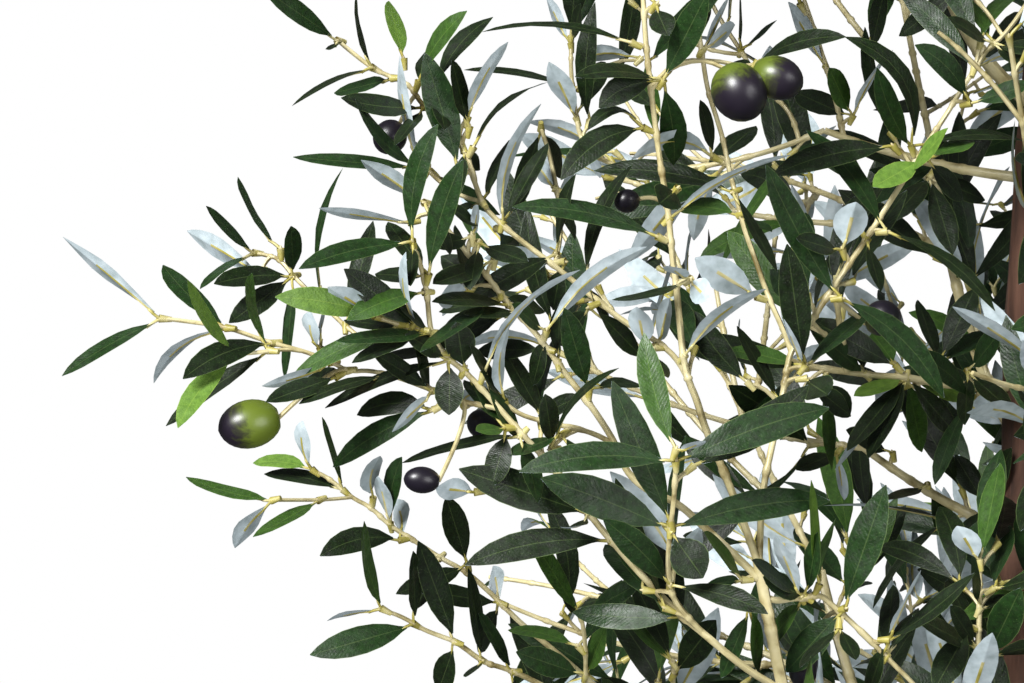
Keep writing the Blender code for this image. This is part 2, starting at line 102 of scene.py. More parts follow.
# Tiers of boughs: foot height, azimuth, fork reach and height, then reach and height of the
# rising spray's tip and of the hanging spray's tip.
TIERS = {
    "low": (
        (0.640, 90.0, 0.170, 0.860, 0.385, 1.100, 0.390, 0.850),
        (0.600, 20.0, 0.190, 0.850, 0.430, 1.060, 0.420, 0.830),
        (0.690, 302.0, 0.180, 0.880, 0.410, 1.085, 0.400, 0.850),
        (0.700, 128.0, 0.160, 0.900, 0.370, 1.110, 0.370, 0.890),
    ),
    "mid": (
        (0.800, 62.0, 0.160, 1.010, 0.380, 1.270, 0.405, 1.030),
        (0.850, 342.0, 0.165, 1.040, 0.400, 1.260, 0.420, 1.040),
        (0.860, 262.0, 0.130, 1.020, 0.300, 1.290, 0.300, 1.010),
        (0.960, 108.0, 0.130, 1.120, 0.330, 1.350, 0.370, 1.130),
    ),
    "top": (
        (1.130, 205.0, 0.080, 1.260, 0.220, 1.480, 0.290, 1.330),
        (1.165, 318.0, 0.085, 1.290, 0.240, 1.500, 0.310, 1.320),
        (1.150, 78.0, 0.080, 1.280, 0.220, 1.510, 0.290, 1.350),
    ),
}
LEADER_TIP = (0.020, 0.010, 1.590)


class Look(Enum):
    """How a leaf shows: the cloth that it is cut from, or its back."""

    DEEP = 0
    MATURE = 1
    FRESH = 2
    YOUNG = 3
    BACK = 4


D, M, F, Y, B = Look
PRINTS = (D, M, F, Y)

# ---------------------------------------------------------------------------------------------
# The front growth, by its place in the camera's 1024 x 683 frame
# ---------------------------------------------------------------------------------------------

# Stems, for each spray: depth (y) at the tip, and the line from where the stem leaves its
# carrier to its tip
FRONT_STEMS = {
    "front_left_a": (
        (-0.168, ((758, 566), (752, 546), (730, 486), (704, 426), (697, 400), (688, 380),
         (683, 357), (679, 316), (676, 283), (672, 255), (668, 207), (660, 164), (653, 107),
         (647, 57), (644, 16), (640, -60), (630, -140), (619, -215))),
        (-0.138, ((697, 400), (680, 361), (657, 341), (624, 322), (593, 297), (555, 266),
         (524, 243), (503, 226), (480, 203), (468, 155), (448, 124), (423, 107), (411, 86),
         (394, 78), (373, 69), (344, 46), (339, 41))),
        (-0.112, ((757, 566), (762, 492), (772, 446), (782, 400), (786, 374), (791, 349),
         (811, 323), (821, 306), (844, 271), (867, 238), (886, 208), (904, 180), (914, 162),
         (929, 140), (945, 117), (960, 92), (976, 67), (988, 48), (1001, 39), (1024, 9),
         (1082, -90))),
        (-0.106, ((786, 350), (783, 329), (769, 299), (753, 253), (743, 225), (737, 199),
         (729, 170), (724, 143), (718, 122), (708, 92), (703, 62), (692, -20), (675, -80),
         (655, -144))),
        (-0.176, ((759, 582), (734, 554), (704, 527), (677, 502), (652, 493), (636, 482),
         (624, 467), (616, 444), (593, 408), (571, 381), (549, 351), (539, 337), (517, 312),
         (503, 299), (486, 274), (474, 261), (446, 228), (430, 208), (426, 203))),
        (-0.172, ((616, 444), (589, 431), (549, 423), (520, 415), (505, 403))),
        (-0.132, ((480, 203), (460, 196), (440, 182), (428, 170))),
        (-0.12, ((770, 596), (777, 601), (792, 598), (805, 598), (820, 594), (833, 606),
         (847, 618), (873, 643), (892, 663), (912, 682), (930, 704))),
        (-0.1, ((555, 266), (562, 230), (557, 190), (549, 152), (541, 128))),
        (-0.1, ((1003, 36), (985, 8), (960, -14), (920, -24), (885, -26))),
    ),
    "front_left_b": (
        (-0.196, ((786, 693), (770, 683), (752, 673), (726, 653), (703, 633), (674, 610),
         (635, 568), (618, 548), (596, 523), (570, 487), (545, 458), (530, 443), (506, 416),
         (490, 398), (465, 371), (447, 358), (436, 342), (430, 330), (427, 291), (420, 262),
         (413, 247))),
        (-0.176, ((500, 409), (475, 404), (462, 401), (434, 391), (397, 377), (369, 370),
         (349, 372), (332, 362), (304, 351), (271, 343), (229, 328), (215, 325), (168, 319),
         (163, 319))),
        (-0.186, ((304, 351), (285, 349), (271, 351), (252, 353), (238, 354))),
        (-0.196, ((703, 633), (688, 618), (676, 603), (669, 586), (668, 560), (670, 530),
         (674, 500), (676, 463), (675, 450))),
        (-0.196, ((430, 331), (421, 330), (400, 325), (382, 319), (377, 317))),
        (-0.11, ((943, 1010), (960, 850), (972, 740), (975, 683), (978, 660), (979, 629),
         (980, 598), (980, 563))),
        (-0.12, ((434, 391), (395, 362), (349, 330), (320, 302), (295, 278), (280, 259),
         (266, 255), (254, 253))),
    ),
    "left_high_a": (
        (0.066, ((824, 130), (770, 152), (700, 168), (640, 172), (598, 160), (580, 138),
         (576, 115), (571, 75), (571, 46))),
        (0.07, ((800, 142), (790, 110), (760, 84), (742, 52), (720, 20), (690, -40), (655, -104))),
        (0.07, ((845, 134), (836, 100), (827, 70), (815, 30), (790, -40))),
    ),
    "left_low_a": (
        (-0.022, ((647, 730), (600, 690), (560, 655), (520, 623), (490, 592), (464, 570),
         (440, 558), (415, 541), (390, 526), (371, 507), (352, 498), (329, 478), (314, 471))),
        (-0.05, ((352, 498), (323, 500), (300, 500), (274, 500))),
    ),
    "left_low_b": (
        (-0.086, ((640, 800), (600, 730), (560, 695), (530, 679), (505, 668), (484, 663),
         (457, 642), (440, 636), (422, 629), (405, 618), (384, 610))),
        (-0.09, ((646, 800), (664, 730), (674, 683), (673, 660))),
        (-0.09, ((570, 701), (584, 690), (586, 673), (585, 638), (581, 616))),
    ),
}

# Tufts, run by run: the spray, then for each tuft the cup's place, and for each leaf its tip's
# place, its width across the view, its look, and where needed how far its middle is bowed to
# the left of its way and its lean towards the eye in degrees
FRONT_TUFTS = (
    ("front_left_b", (
        ((478, 492), (436, 488, 24, B)),
    )),
    ("left_low_b", (
        ((672, 663), (632, 576, 24, D), (627, 618, 13, F)),
        ((677, 675), (716, 620, 34, D)),
    )),
    ("front_left_a", (
        ((494, 262), (433, 284, 22, D)),
        ((508, 314), (438, 345, 24, D)),
        ((524, 312), (464, 314, 14, D)),
    )),
    ("front_left_b", (
        ((422, 332), (344, 320, 16, D)),
        ((444, 352), (380, 356, 16, D)),
        # the far left stem and its spurs
        ((160, 319), (63, 237, 12, B), (62, 376, 13, M, -4)),
        ((229, 328), (163, 265, 19, M, 4), (154, 383, 11, B, -14)),
        ((236, 354), (187, 280, 13, Y, 6), (178, 428, 26, Y, -7)),
        ((271, 349), (252, 273, 11, F, 9), (166, 426, 18, D, -4)),
        ((274, 343), (183, 379, 26, D, -9)),
        ((321, 351), (311, 312, 10, B, 5), (325, 312, 5, B, 3)),
        ((338, 376), (266, 402, 23, D)),
        ((388, 378), (299, 404, 11, D, -4)),
        ((332, 362), (262, 386, 11, B, 3)),
        # the sprig behind it
        ((256, 253), (206, 206, 10, M, 2), (200, 289, 7, M, -5)),
        ((262, 274), (187, 231, 19, B)),
        ((281, 252), (238, 177, 7, M, 5)),
        ((294, 276), (291, 226, 18, M), (229, 323, 27, D), (285, 379, 15, M),
         (214, 284, 24, D, -4)),
        ((322, 304), (343, 168, 7, M, 14)),
        ((345, 327), (373, 221, 20, D)),
        # the front left stem, from its tip down
        ((413, 243), (438, 124, 23, M, 11), (299, 269, 24, M, -6), (411, 286, 14, D)),
        ((428, 277), (463, 160, 27, M, 5), (375, 274, 22, D), (388, 222, 22, D)),
        ((421, 330), (344, 269, 28, D), (352, 363, 20, D), (406, 252, 8, B, 9)),
        ((431, 333), (443, 356, 14, M), (336, 341, 18, M), (396, 302, 11, D)),
        ((400, 326), (360, 345, 18, D), (352, 300, 20, D)),
        ((464, 371), (505, 424, 15, M), (457, 322, 32, D, 0, 20)),
        ((434, 391), (372, 352, 20, D), (392, 432, 14, B)),
        ((349, 372), (297, 390, 18, D, -3)),
        ((427, 292), (347, 320, 24, F, -5)),
        ((376, 317), (275, 297, 28, Y, -5), (328, 287, 25, B, 0, 40)),
        ((410, 331), (291, 378, 22, F, -7), (430, 392, 16, D)),
        ((449, 361), (405, 334, 21, D, 0, 30), (449, 415, 32, D, 0, 3), (325, 408, 12, D, -6)),
        ((436, 409), (357, 415, 29, D, -9), (333, 467, 27, M, -7)),
        ((483, 376), (580, 270, 6, B, 18), (520, 440, 20, M)),
        ((508, 428), (464, 380, 19, M), (492, 486, 30, D, 0, 3), (476, 431, 11, F, 0, 45)),
        ((520, 436), (402, 463, 12, D, -4), (538, 503, 24, M, 0, 20)),
        ((588, 515), (459, 469, 38, D), (560, 527, 8, D, 6, 50)),
        ((612, 541), (465, 565, 31, D, -10)),
        # the upright twig before it
        ((675, 452), (644, 333, 30, F, 5), (706, 441, 9, B)),
        ((676, 464), (829, 408, 38, M, 6), (519, 472, 34, M, -12)),
        ((671, 524), (612, 381, 36, M)),
        ((670, 530), (830, 501, 33, M, 9, -18), (541, 478, 40, M, -3)),
        ((672, 531), (703, 578, 41, D, 0, 8)),
        ((670, 586), (603, 519, 30, M, -4), (768, 614, 21, D, 6)),
    )),
    # the second left stem
    ("front_left_a", (
        ((426, 203), (361, 160, 24, B, 0, 20), (450, 255, 16, D)),
        ((420, 168), (355, 98, 18, M, 9), (400, 56, 14, B, 5), (293, 157, 18, M)),
        ((412, 222), (319, 208, 8, B, 1)),
        ((472, 238), (430, 245, 18, D), (478, 205, 9, B)),
        ((500, 296), (441, 256, 32, D), (545, 312, 18, D)),
        ((478, 244), (528, 262, 20, D), (470, 290, 22, D)),
        ((440, 200), (432, 250, 20, D), (478, 226, 16, D)),
        ((548, 350), (478, 350, 22, D)),
        ((545, 422), (500, 343, 25, D)),
        ((463, 150), (452, 205, 18, D), (480, 170, 14, D)),
        ((492, 301), (437, 343, 23, D), (420, 352, 18, M)),
        ((508, 308), (432, 302, 16, D, -4)),
        ((471, 290), (438, 300, 24, B, 0, 45), (455, 225, 16, D)),
        ((546, 333), (647, 247, 20, B, 12), (512, 304, 17, M), (533, 385, 22, D)),
        ((503, 401), (509, 326, 14, B, 8), (470, 345, 15, D)),
        ((589, 392), (564, 308, 31, M), (646, 387, 14, D, 6), (538, 416, 20, D)),
        ((553, 449), (619, 368, 8, D, 14), (545, 394, 20, D, 0, 20)),
        ((563, 434), (508, 455, 12, M), (590, 470, 14, M)),
        # the stem behind it, out to the top left
        ((339, 41), (262, -12, 20, M), (329, 50, 6, D, 0, 50)),
        ((373, 70), (356, -6, 5, D, 6), (292, 106, 7, D, -6)),
        ((394, 79), (334, 93, 13, M)),
        ((424, 108), (341, 98, 25, D, 4), (395, 145, 16, D)),
        ((404, 62), (389, 1, 20, Y)),
        ((418, 84), (467, 11, 14, F, 7), (425, 52, 9, D)),
        ((436, 88), (493, 17, 18, D, 9), (445, 130, 17, D)),
        ((460, 170), (425, 53, 35, M)),
        ((469, 130), (452, 60, 21, D)),
        ((467, 120), (508, 42, 14, B, 5)),
        ((472, 150), (549, 82, 8, D, 14)),
        ((428, 168), (413, 140, 14, B), (500, 215, 12, M)),
        ((481, 204), (509, 140, 14, D), (440, 215, 12, D)),
        ((503, 224), (541, 104, 14, B, 14), (548, 143, 19, D)),
        ((560, 256), (469, 303, 27, D, -4), (576, 174, 12, D, 5)),
        ((586, 282), (633, 164, 19, D, 12), (612, 330, 14, D)),
        ((592, 306), (560, 345, 20, D), (641, 356, 20, D)),
        ((646, 350), (637, 307, 26, B, 0, 30), (668, 378, 14, D)),
        # the middle stem
        ((634, 44), (482, 32, 9, D, -13)),
        ((655, 6), (668, 36, 27, D, 0, 50), (617, -40, 16, M)),
        ((662, 82), (575, 77, 16, D, -8), (599, 108, 30, D, -9), (708, -8, 31, M), (711, 9, 12, D),
         (674, 165, 31, M, 4)),
        ((646, 129), (561, 180, 32, D, -13), (588, 130, 9, D, -20)),
        ((676, 190), (659, 204, 37, D, 0, 62)),
        ((672, 219), (791, 155, 11, B, 10)),
        ((660, 238), (512, 207, 24, M, -10)),
        ((689, 280), (668, 266, 12, B, 0, 60), (709, 300, 26, B, 0, 50), (612, 300, 8, D, 4)),
        ((684, 357), (766, 289, 16, B, 9)),
        ((657, 348), (670, 298, 17, B)),
        # the right-hand pair of stems
        ((715, 158), (631, 160, 20, B, -18), (700, 100, 14, D)),
        ((699, 52), (729, -2, 10, B), (735, 25, 17, B)),
        ((733, 192), (594, 171, 26, D, -9), (777, 272, 13, D)),
        ((740, 215), (676, 208, 22, F, -4), (772, 232, 10, M)),
        ((759, 298), (695, 258, 33, B, 0, 25)),
        ((749, 384), (690, 309, 30, D, 5)),
        ((804, 368), (787, 244, 33, D), (784, 319, 9, B), (874, 306, 17, M),
         (725, 350, 17, F, -3)),
        ((804, 379), (828, 395, 36, D, 0, 55), (851, 416, 22, D)),
        ((780, 404), (737, 326, 15, D)),
        ((839, 299), (766, 165, 32, M, 4), (944, 398, 28, M, 14)),
        ((843, 252), (856, 202, 38, B, 0, 30), (796, 238, 20, D)),
        ((868, 240), (881, 292, 15, D)),
        ((884, 232), (806, 130, 25, M, -9), (995, 311, 11, D, 14)),
        ((905, 176), (948, 128, 14, Y)),
        ((895, 148), (772, 176, 30, D, -8)),
        ((912, 149), (845, 37, 22, D, -28), (877, 68, 24, M, 5), (1024, 141, 9, D, 10)),
        ((968, 104), (915, 45, 24, M, -9), (1032, 84, 22, M)),
        ((973, 70), (900, -8, 25, M, -5), (1030, 56, 9, B, 8)),
        ((994, 46), (966, -4, 15, F), (1050, 50, 16, D), (1030, 68, 18, D), (948, 18, 15, D)),
        ((962, -12), (899, 36, 26, D)),
        ((888, -22), (872, 45, 22, D)),
        ((925, 158), (974, 141, 17, F), (873, 187, 25, Y), (963, 200, 24, D)),
        ((756, 64), (846, 37, 20, D, 9), (727, 66, 13, D)),
        # the low twig on the right
        ((806, 597), (818, 532, 19, M), (770, 640, 16, F), (763, 577, 22, D)),
        ((818, 587), (836, 518, 8, F, 4), (811, 480, 12, Y)),
        ((843, 609), (886, 485, 37, M), (786, 672, 35, M)),
        ((839, 626), (800, 668, 16, D), (856, 660, 16, D)),
        ((886, 640), (921, 570, 8, B), (975, 573, 15, D, -4), (866, 700, 20, D)),
        ((745, 580), (707, 584, 12, M), (704, 532, 17, F)),
        ((752, 606), (721, 678, 20, M), (759, 672, 18, F)),
        ((801, 594), (775, 535, 16, B), (752, 560, 14, D)),
        ((888, 655), (893, 585, 18, D), (918, 608, 18, D)),
    )),
    # the upright twig on the right
    ("front_left_b", (
        ((981, 560), (957, 526, 23, B, 0, 20), (1000, 463, 23, F)),
        ((992, 590), (1052, 574, 18, D), (1010, 525, 18, M)),
        ((979, 610), (972, 556, 12, M), (1010, 596, 14, D)),
        ((978, 650), (950, 606, 22, D), (912, 615, 18, D)),
        ((970, 627), (934, 690, 32, D), (948, 580, 18, D)),
        ((988, 657), (1021, 588, 37, M), (1060, 640, 20, D)),
    )),
    # the level stem from the trunk, and what grows round it
    ("left_centre_a", (
        ((907, 377), (854, 396, 14, Y), (847, 451, 24, D), (868, 459, 22, D), (922, 452, 22, F),
         (958, 437, 24, D), (971, 398, 21, Y)),
        ((939, 364), (918, 300, 20, D), (975, 288, 26, D), (990, 330, 20, M)),
        ((897, 367), (830, 325, 24, D), (811, 319, 28, D), (872, 333, 24, F)),
        ((866, 372), (808, 325, 24, M), (852, 330, 16, D)),
        ((823, 380), (850, 416, 26, D), (832, 470, 18, F)),
        ((968, 372), (1010, 410, 24, D), (1002, 330, 22, M), (965, 425, 22, D)),
        ((800, 398), (780, 440, 10, M)),
    )),
    ("left_mid_a", (
        ((985, 505), (955, 455, 26, D), (1012, 448, 22, D), (960, 556, 26, D)),
        ((928, 486), (955, 546, 22, M), (888, 500, 14, D)),
        ((893, 455), (846, 430, 20, D)),
        ((838, 452), (844, 500, 10, B), (796, 470, 18, D)),
        ((778, 425), (718, 430, 8, D, -10)),
    )),
    ("left_high_a", (
        ((572, 88), (464, 70, 8, D, -6)),
        ((571, 44), (546, -3, 15, B), (581, 4, 11, D)),
        ((576, 120), (549, 62, 21, B), (600, 178, 12, B)),
        ((640, 60), (576, 62, 17, B, -8)),
        ((700, 172), (628, 262, 24, B), (756, 126, 16, D)),
        ((742, 50), (740, -4, 5, M), (777, 20, 5, M)),
        ((826, 68), (788, 2, 19, B)),
        ((852, 118), (893, 50, 9, B, 4), (795, 92, 24, D), (829, 68, 21, F)),
        ((930, 176), (953, 255, 28, D), (890, 222, 22, D), (985, 200, 20, D)),
    )),
    ("front_left_a", (
        ((562, 262), (553, 310, 24, D)),
        ((560, 362), (560, 300, 18, D)),
        ((541, 126), (515, 210, 23, D), (563, 178, 20, D)),
        ((556, 190), (535, 162, 14, B), (575, 240, 12, D)),
    )),
    # the low left stems
    ("left_low_a", (
        ((312, 471), (303, 421, 12, B, 6), (253, 463, 15, Y, -5)),
        ((346, 490), (322, 417, 6, F), (264, 474, 15, D, -5)),
        ((274, 500), (186, 477, 16, F, 4), (235, 548, 15, B, -4)),
        ((320, 500), (253, 537, 15, F)),
        ((373, 500), (380, 456, 17, B, 6)),
        ((392, 524), (402, 457, 15, M, 5), (378, 476, 14, B)),
        ((402, 540), (320, 556, 27, D, -9), (394, 500, 15, B, -4)),
        ((440, 558), (415, 610, 20, D)),
        ((468, 566), (446, 496, 28, D), (396, 594, 22, D)),
        ((500, 604), (493, 566, 15, B), (478, 652, 20, D), (418, 590, 22, D)),
    )),
    ("left_low_b", (
        ((384, 608), (364, 521, 14, F, 6), (327, 621, 7, B, -3)),
        ((415, 626), (310, 655, 30, M), (413, 551, 15, D)),
        ((456, 642), (438, 692, 24, D), (418, 541, 31, D)),
        ((482, 662), (466, 677, 7, D, 0, 50), (468, 568, 18, D)),
        ((514, 672), (478, 612, 16, M), (516, 720, 20, D)),
        ((581, 615), (526, 530, 20, F), (643, 581, 19, M), (561, 592, 14, D)),
        ((580, 648), (508, 630, 13, F, -5), (622, 580, 24, M)),
        ((585, 676), (516, 652, 30, M), (606, 627, 22, F), (640, 700, 24, D)),
    )),
)

# Olives: spray, where the stalk leaves, the middle of the olive, its length and width across
# the view, the way of its tip in degrees from the right, how ripe it is from 0 to 1, and how far
# it hangs before its stem.
FRONT_OLIVES = (
    ("front_left_a", (664, 88), (739, 92), 62, 55, -60, 0.56, 0.014),
    ("front_left_a", (664, 86), (777, 78), 54, 44, -20, 0.48, 0.010),
    ("front_left_b", (344, 374), (250, 424), 64, 49, 192, 0.35, 0.014),
    ("front_left_b", (503, 424), (484, 425), 36, 31, 150, 0.95, -0.018),
    ("front_left_b", (440, 486), (422, 480), 37, 27, 175, 1.0, 0.010),
    ("front_left_a", (400, 112), (390, 137), 36, 34, 235, 0.8, -0.022),
    ("front_left_a", (842, 302), (882, 318), 38, 36, 20, 0.70, -0.020),
    ("front_left_a", (655, 216), (627, 201), 26, 24, 190, 0.95, -0.014),
    ("front_left_a", (830, 628), (804, 668), 40, 30, 255, 0.9, -0.016),
)

# Open places between the sprays, where the far side of the crown bears nothing: circles
OPEN_PLACES = (
    (508, 8, 40), (520, 48, 24), (560, 5, 14), (587, 90, 10), (588, 35, 16), (605, 15, 12),
    (770, 18, 20), (815, 78, 10), (815, 5, 16), (840, 18, 22), (840, 75, 13), (858, 54, 12),
    (900, 30, 15), (905, 64, 24), (942, 76, 20), (490, 140, 16), (514, 100, 20), (544, 184, 13),
    (588, 185, 14), (624, 144, 14), (712, 172, 10), (735, 143, 14), (735, 140, 16), (760, 140, 16),
    (790, 128, 13), (797, 137, 8), (813, 186, 10), (820, 180, 12), (830, 100, 12), (865, 102, 13),
    (972, 119, 10), (975, 165, 9), (985, 180, 15), (986, 106, 15), (1004, 188, 9), (391, 268, 12),
    (521, 291, 11), (539, 233, 17), (576, 255, 10), (614, 291, 11), (640, 238, 12), (672, 240, 10),
    (735, 290, 13), (762, 291, 14), (765, 207, 17), (786, 238, 9), (819, 282, 8), (864, 288, 11),
    (900, 272, 18), (900, 245, 10), (925, 286, 18), (945, 275, 10), (999, 242, 13), (484, 321, 14),
    (525, 384, 14), (526, 356, 16), (570, 358, 11), (612, 345, 22), (618, 372, 16), (705, 300, 11),
    (709, 394, 12), (720, 360, 12), (725, 305, 19), (736, 376, 11), (755, 320, 15), (757, 396, 12),
    (758, 324, 18), (867, 381, 8), (942, 301, 10), (990, 344, 11), (428, 450, 14), (605, 405, 11),
    (684, 402, 7), (690, 405, 11), (700, 495, 17), (710, 430, 15), (727, 471, 12), (735, 410, 12),
    (750, 465, 16), (760, 440, 14), (785, 450, 13), (792, 477, 12), (863, 401, 12), (890, 430, 11),
    (905, 475, 13), (911, 448, 15), (915, 483, 18), (945, 400, 11), (953, 407, 8), (965, 446, 10),
    (985, 430, 10), (453, 581, 9), (487, 555, 18), (498, 528, 24), (520, 575, 14), (532, 590, 24),
    (562, 525, 14), (575, 515, 12), (580, 560, 14), (595, 568, 18), (610, 585, 12), (720, 590, 10),
    (760, 592, 10), (775, 548, 13), (780, 554, 10), (828, 588, 15), (835, 560, 12), (925, 500, 12),
    (932, 549, 13), (494, 636, 20), (500, 672, 14), (545, 615, 18), (555, 600, 14), (642, 620, 12),
    (677, 645, 8), (730, 600, 13), (738, 640, 20), (740, 628, 19), (842, 650, 13), (845, 650, 15),
    (863, 623, 20), (901, 679, 10),
)

# Boxes of the frame where the far side is thin: left, top, right, bottom, share of its leaves
SPARSE_PLACES = (
    (470, -20, 800, 250, 0.34),
    (800, -20, 1010, 130, 0.30),
    (800, 130, 1010, 250, 0.60),
    (500, 250, 720, 480, 0.60),
    (720, 250, 1010, 480, 0.75),
)
# The left edge of the far side of the crown, from the frame's top to its bottom
FAR_EDGE = (
    (548, -40), (548, 30), (520, 110), (468, 160), (440, 240), (440, 330), (452, 420),
    (470, 500), (478, 560), (500, 640), (520, 730),
)


# ---------------------------------------------------------------------------------------------
# Paths
# ---------------------------------------------------------------------------------------------

HANDLE_PULL = 0.75  # share of its handles' offset that the middle of a curve takes
LINE_END = 0.9999  # the greatest share that still falls on a line's last piece
CORNER_CUT = 0.25  # share of each piece that goes when its corner is cut


def polar(azimuth: float, reach: float, height: float) -> Vector:
    """Find a point from its bearing, its distance from the axis and its height.

    Args:
        azimuth: bearing round the trunk in degrees, from +X towards +Y.
        reach: distance from the axis.
        height: height above the floor.

    Returns:
        The point.
    """
    turn = math.radians(azimuth)
    return Vector((reach * math.cos(turn), reach * math.sin(turn), height))


def curve_points(start: Sequence, end: Sequence, bow: Sequence, steps: int) -> list[Vector]:
    """Draw a limb's line.

    Args:
        start: where it leaves its parent.
        end: its tip.
        bow: how far its middle lies off the straight line.
        steps: number of pieces.

    Returns:
        The points of the line.
    """
    pull = Vector(bow) / HANDLE_PULL
    start, end = Vector(start), Vector(end)
    first = start.lerp(end, 1 / 3) + pull
    second = start.lerp(end, 2 / 3) + pull
    return interpolate_bezier(start, first, second, end, steps + 1)


def point_on(path: Sequence[Vector], share: float) -> tuple[Vector, Vector]:
    """Find a point on a line.

    Args:
        path: points of the line.
        share: how far along its pieces, from 0 to 1.

    Returns:
        The point and the direction of the line there.
    """
    place = min(max(share, 0.0), LINE_END) * (len(path) - 1)
    index = int(place)
    ahead = path[index + 1] - path[index]
    return path[index] + ahead * (place - index), ahead.normalized()


def smooth_line(path: Sequence[Vector], rounds: int = 2) -> list[Vector]:
    """Round off a given line.

    Args:
        path: its points.
        rounds: how often each corner is cut.

    Returns:
        The line with more points, ending where it did.
    """
    for _ in range(rounds):
        cut = [path[0]]
        for before, after in zip(path, path[1:]):
            cut += [before.lerp(after, CORNER_CUT), before.lerp(after, 1.0 - CORNER_CUT)]
        path = cut + [path[-1]]
    return list(path)


def length_of(path: Sequence[Vector]) -> float:
    """Measure a line."""
    return sum((after - before).length for before, after in zip(path, path[1:]))


def square_to(direction: Vector, axis: Vector) -> Vector:
    """Take out of a direction what lies along the axis, and return what is left, length 1."""
    rest = direction - axis * direction.dot(axis)
    return rest.normalized() if rest.length > 1e-4 else axis.orthogonal().normalized()


# ---------------------------------------------------------------------------------------------
# Scene, sight and light
# ---------------------------------------------------------------------------------------------


def add_object(name: str, data: bpy.types.ID) -> bpy.types.Object:
    """Put an object with this data in the scene, at the origin, and return it."""
    made = bpy.data.objects.new(name, data)
    bpy.context.scene.collection.objects.link(made)
    return made


def smooth_data(
    name: str, mesh: bmesh.types.BMesh, sharp_deg: float | None = None
) -> bpy.types.Mesh:
    """Turn a bmesh into smooth mesh data, and free it.

    Args:
        name: the data's name.
        mesh: the bmesh.
        sharp_deg: edges that turn by more than this stay sharp; None leaves all smooth.

    Returns:
        The data.
    """
    data = bpy.data.meshes.new(name)
    mesh.to_mesh(data)
    mesh.free()
    data.shade_smooth()
    if sharp_deg is not None:
        data.set_sharp_from_angle(angle=math.radians(sharp_deg))
    return data


@dataclass(frozen=True)
class Sight:
    """The camera: where it stands, and which place of its frame each point falls on."""

    eye: tuple[float, float, float] = (-0.26, -1.5, 1.02)
    lens_mm: float = 109.2
    sensor_mm: float = 36.0
    size: tuple[int, int] = (1024, 683)
    margin: float = 25.0  # round the frame, in pixels, within which growth counts as seen
    open_margin: float = 12.0  # the same for the open places
    before_margin: float = 30.0  # the same for what would stand before the front growth
    trunk_strip: float = 14.0  # pixels at the right, where boughs may come forward
    front_depth: float = -0.06  # no other bough reaches into the frame before this y

    def step(self, depth: float) -> float:
        """Give the size in metres of one pixel at a depth."""
        return (depth - self.eye[1]) * self.sensor_mm / (self.lens_mm * self.size[0])

    def point(self, place: Sequence, depth: float) -> Vector:
        """Find the point at a place of the frame.

        Args:
            place: pixels from the left and from the top.
            depth: the point's y.

        Returns:
            The point.
        """
        step = self.step(depth)
        side = (place[0] - self.size[0] / 2) * step
        drop = (place[1] - self.size[1] / 2) * step
        return Vector((self.eye[0] + side, depth, self.eye[2] - drop))

    def place(self, point: Vector) -> Vector:
        """Find a point's place in the frame, in pixels from the left and from the top."""
        step = self.step(point.y)
        across = (point.x - self.eye[0]) / step + self.size[0] / 2
        return Vector((across, (self.eye[2] - point.z) / step + self.size[1] / 2))

    def sees(self, point: Vector, margin: float | None = None) -> bool:
        """Tell whether a point falls in the frame, or within a margin in pixels of it."""
        room = self.margin if margin is None else margin
        place = self.place(point)
        return all(-room < place[axis] < self.size[axis] + room for axis in range(2))

    def is_past_edge(self, point: Vector) -> bool:
        """Tell whether a point is seen beyond the left edge of the crown's far side."""
        across, down = self.place(point)
        rows, columns = zip(*((row, column) for column, row in FAR_EDGE))
        edge = float(np.interp(down, rows, columns))
        return self.sees(point, self.open_margin) and across < edge

    def is_before(self, point: Vector) -> bool:
        """Tell whether a point would stand before the front growth."""
        return (
            point.y < self.front_depth
            and self.sees(point, self.before_margin)
            and self.place(point).x < self.size[0] - self.trunk_strip
        )

    def share_at(self, point: Vector) -> float:
        """Give the share of the far side's leaves that are kept at a point."""
        across, down = self.place(point)
        for left, top, right, bottom, share in SPARSE_PLACES:
            if left <= across < right and top <= down < bottom:
                return share
        return 1.0

    def is_open(self, point: Vector) -> bool:
        """Tell whether the crown is open at a point, as the camera sees it."""
        if not self.sees(point, self.open_margin):
            return False
        place = self.place(point)
        return self.is_past_edge(point) or any(
            (place - Vector((x, y))).length < radius for x, y, radius in OPEN_PLACES
        )

    def set_up(self) -> None:
        """Set up the camera."""
        data = bpy.data.cameras.new("camera")
        data.sensor_width, data.lens = self.sensor_mm, self.lens_mm
        camera = add_object("camera", data)
        camera.location = self.eye
        camera.rotation_euler = (math.radians(90.0), 0.0, 0.0)
        bpy.context.scene.camera = camera


SIGHT = Sight()


# ---------------------------------------------------------------------------------------------
# Materials
# ---------------------------------------------------------------------------------------------


def linear(colour: str) -> tuple[float, float, float, float]:
    """Turn an sRGB hex colour, such as "#808080", to linear red, green, blue and alpha."""
    values = [int(colour[index : index + 2], 16) / 255 for index in (1, 3, 5)]
    red, green, blue = (
        value / 12.92 if value <= 0.04045 else ((value + 0.055) / 1.055) ** 2.4
        for value in values
    )
    return red, green, blue, 1.0


def socket_of(source: bpy.types.Node | bpy.types.NodeSocket) -> bpy.types.NodeSocket:
    """Give a node's first output, or a socket as it is."""
    return source.outputs[0] if isinstance(source, bpy.types.Node) else source


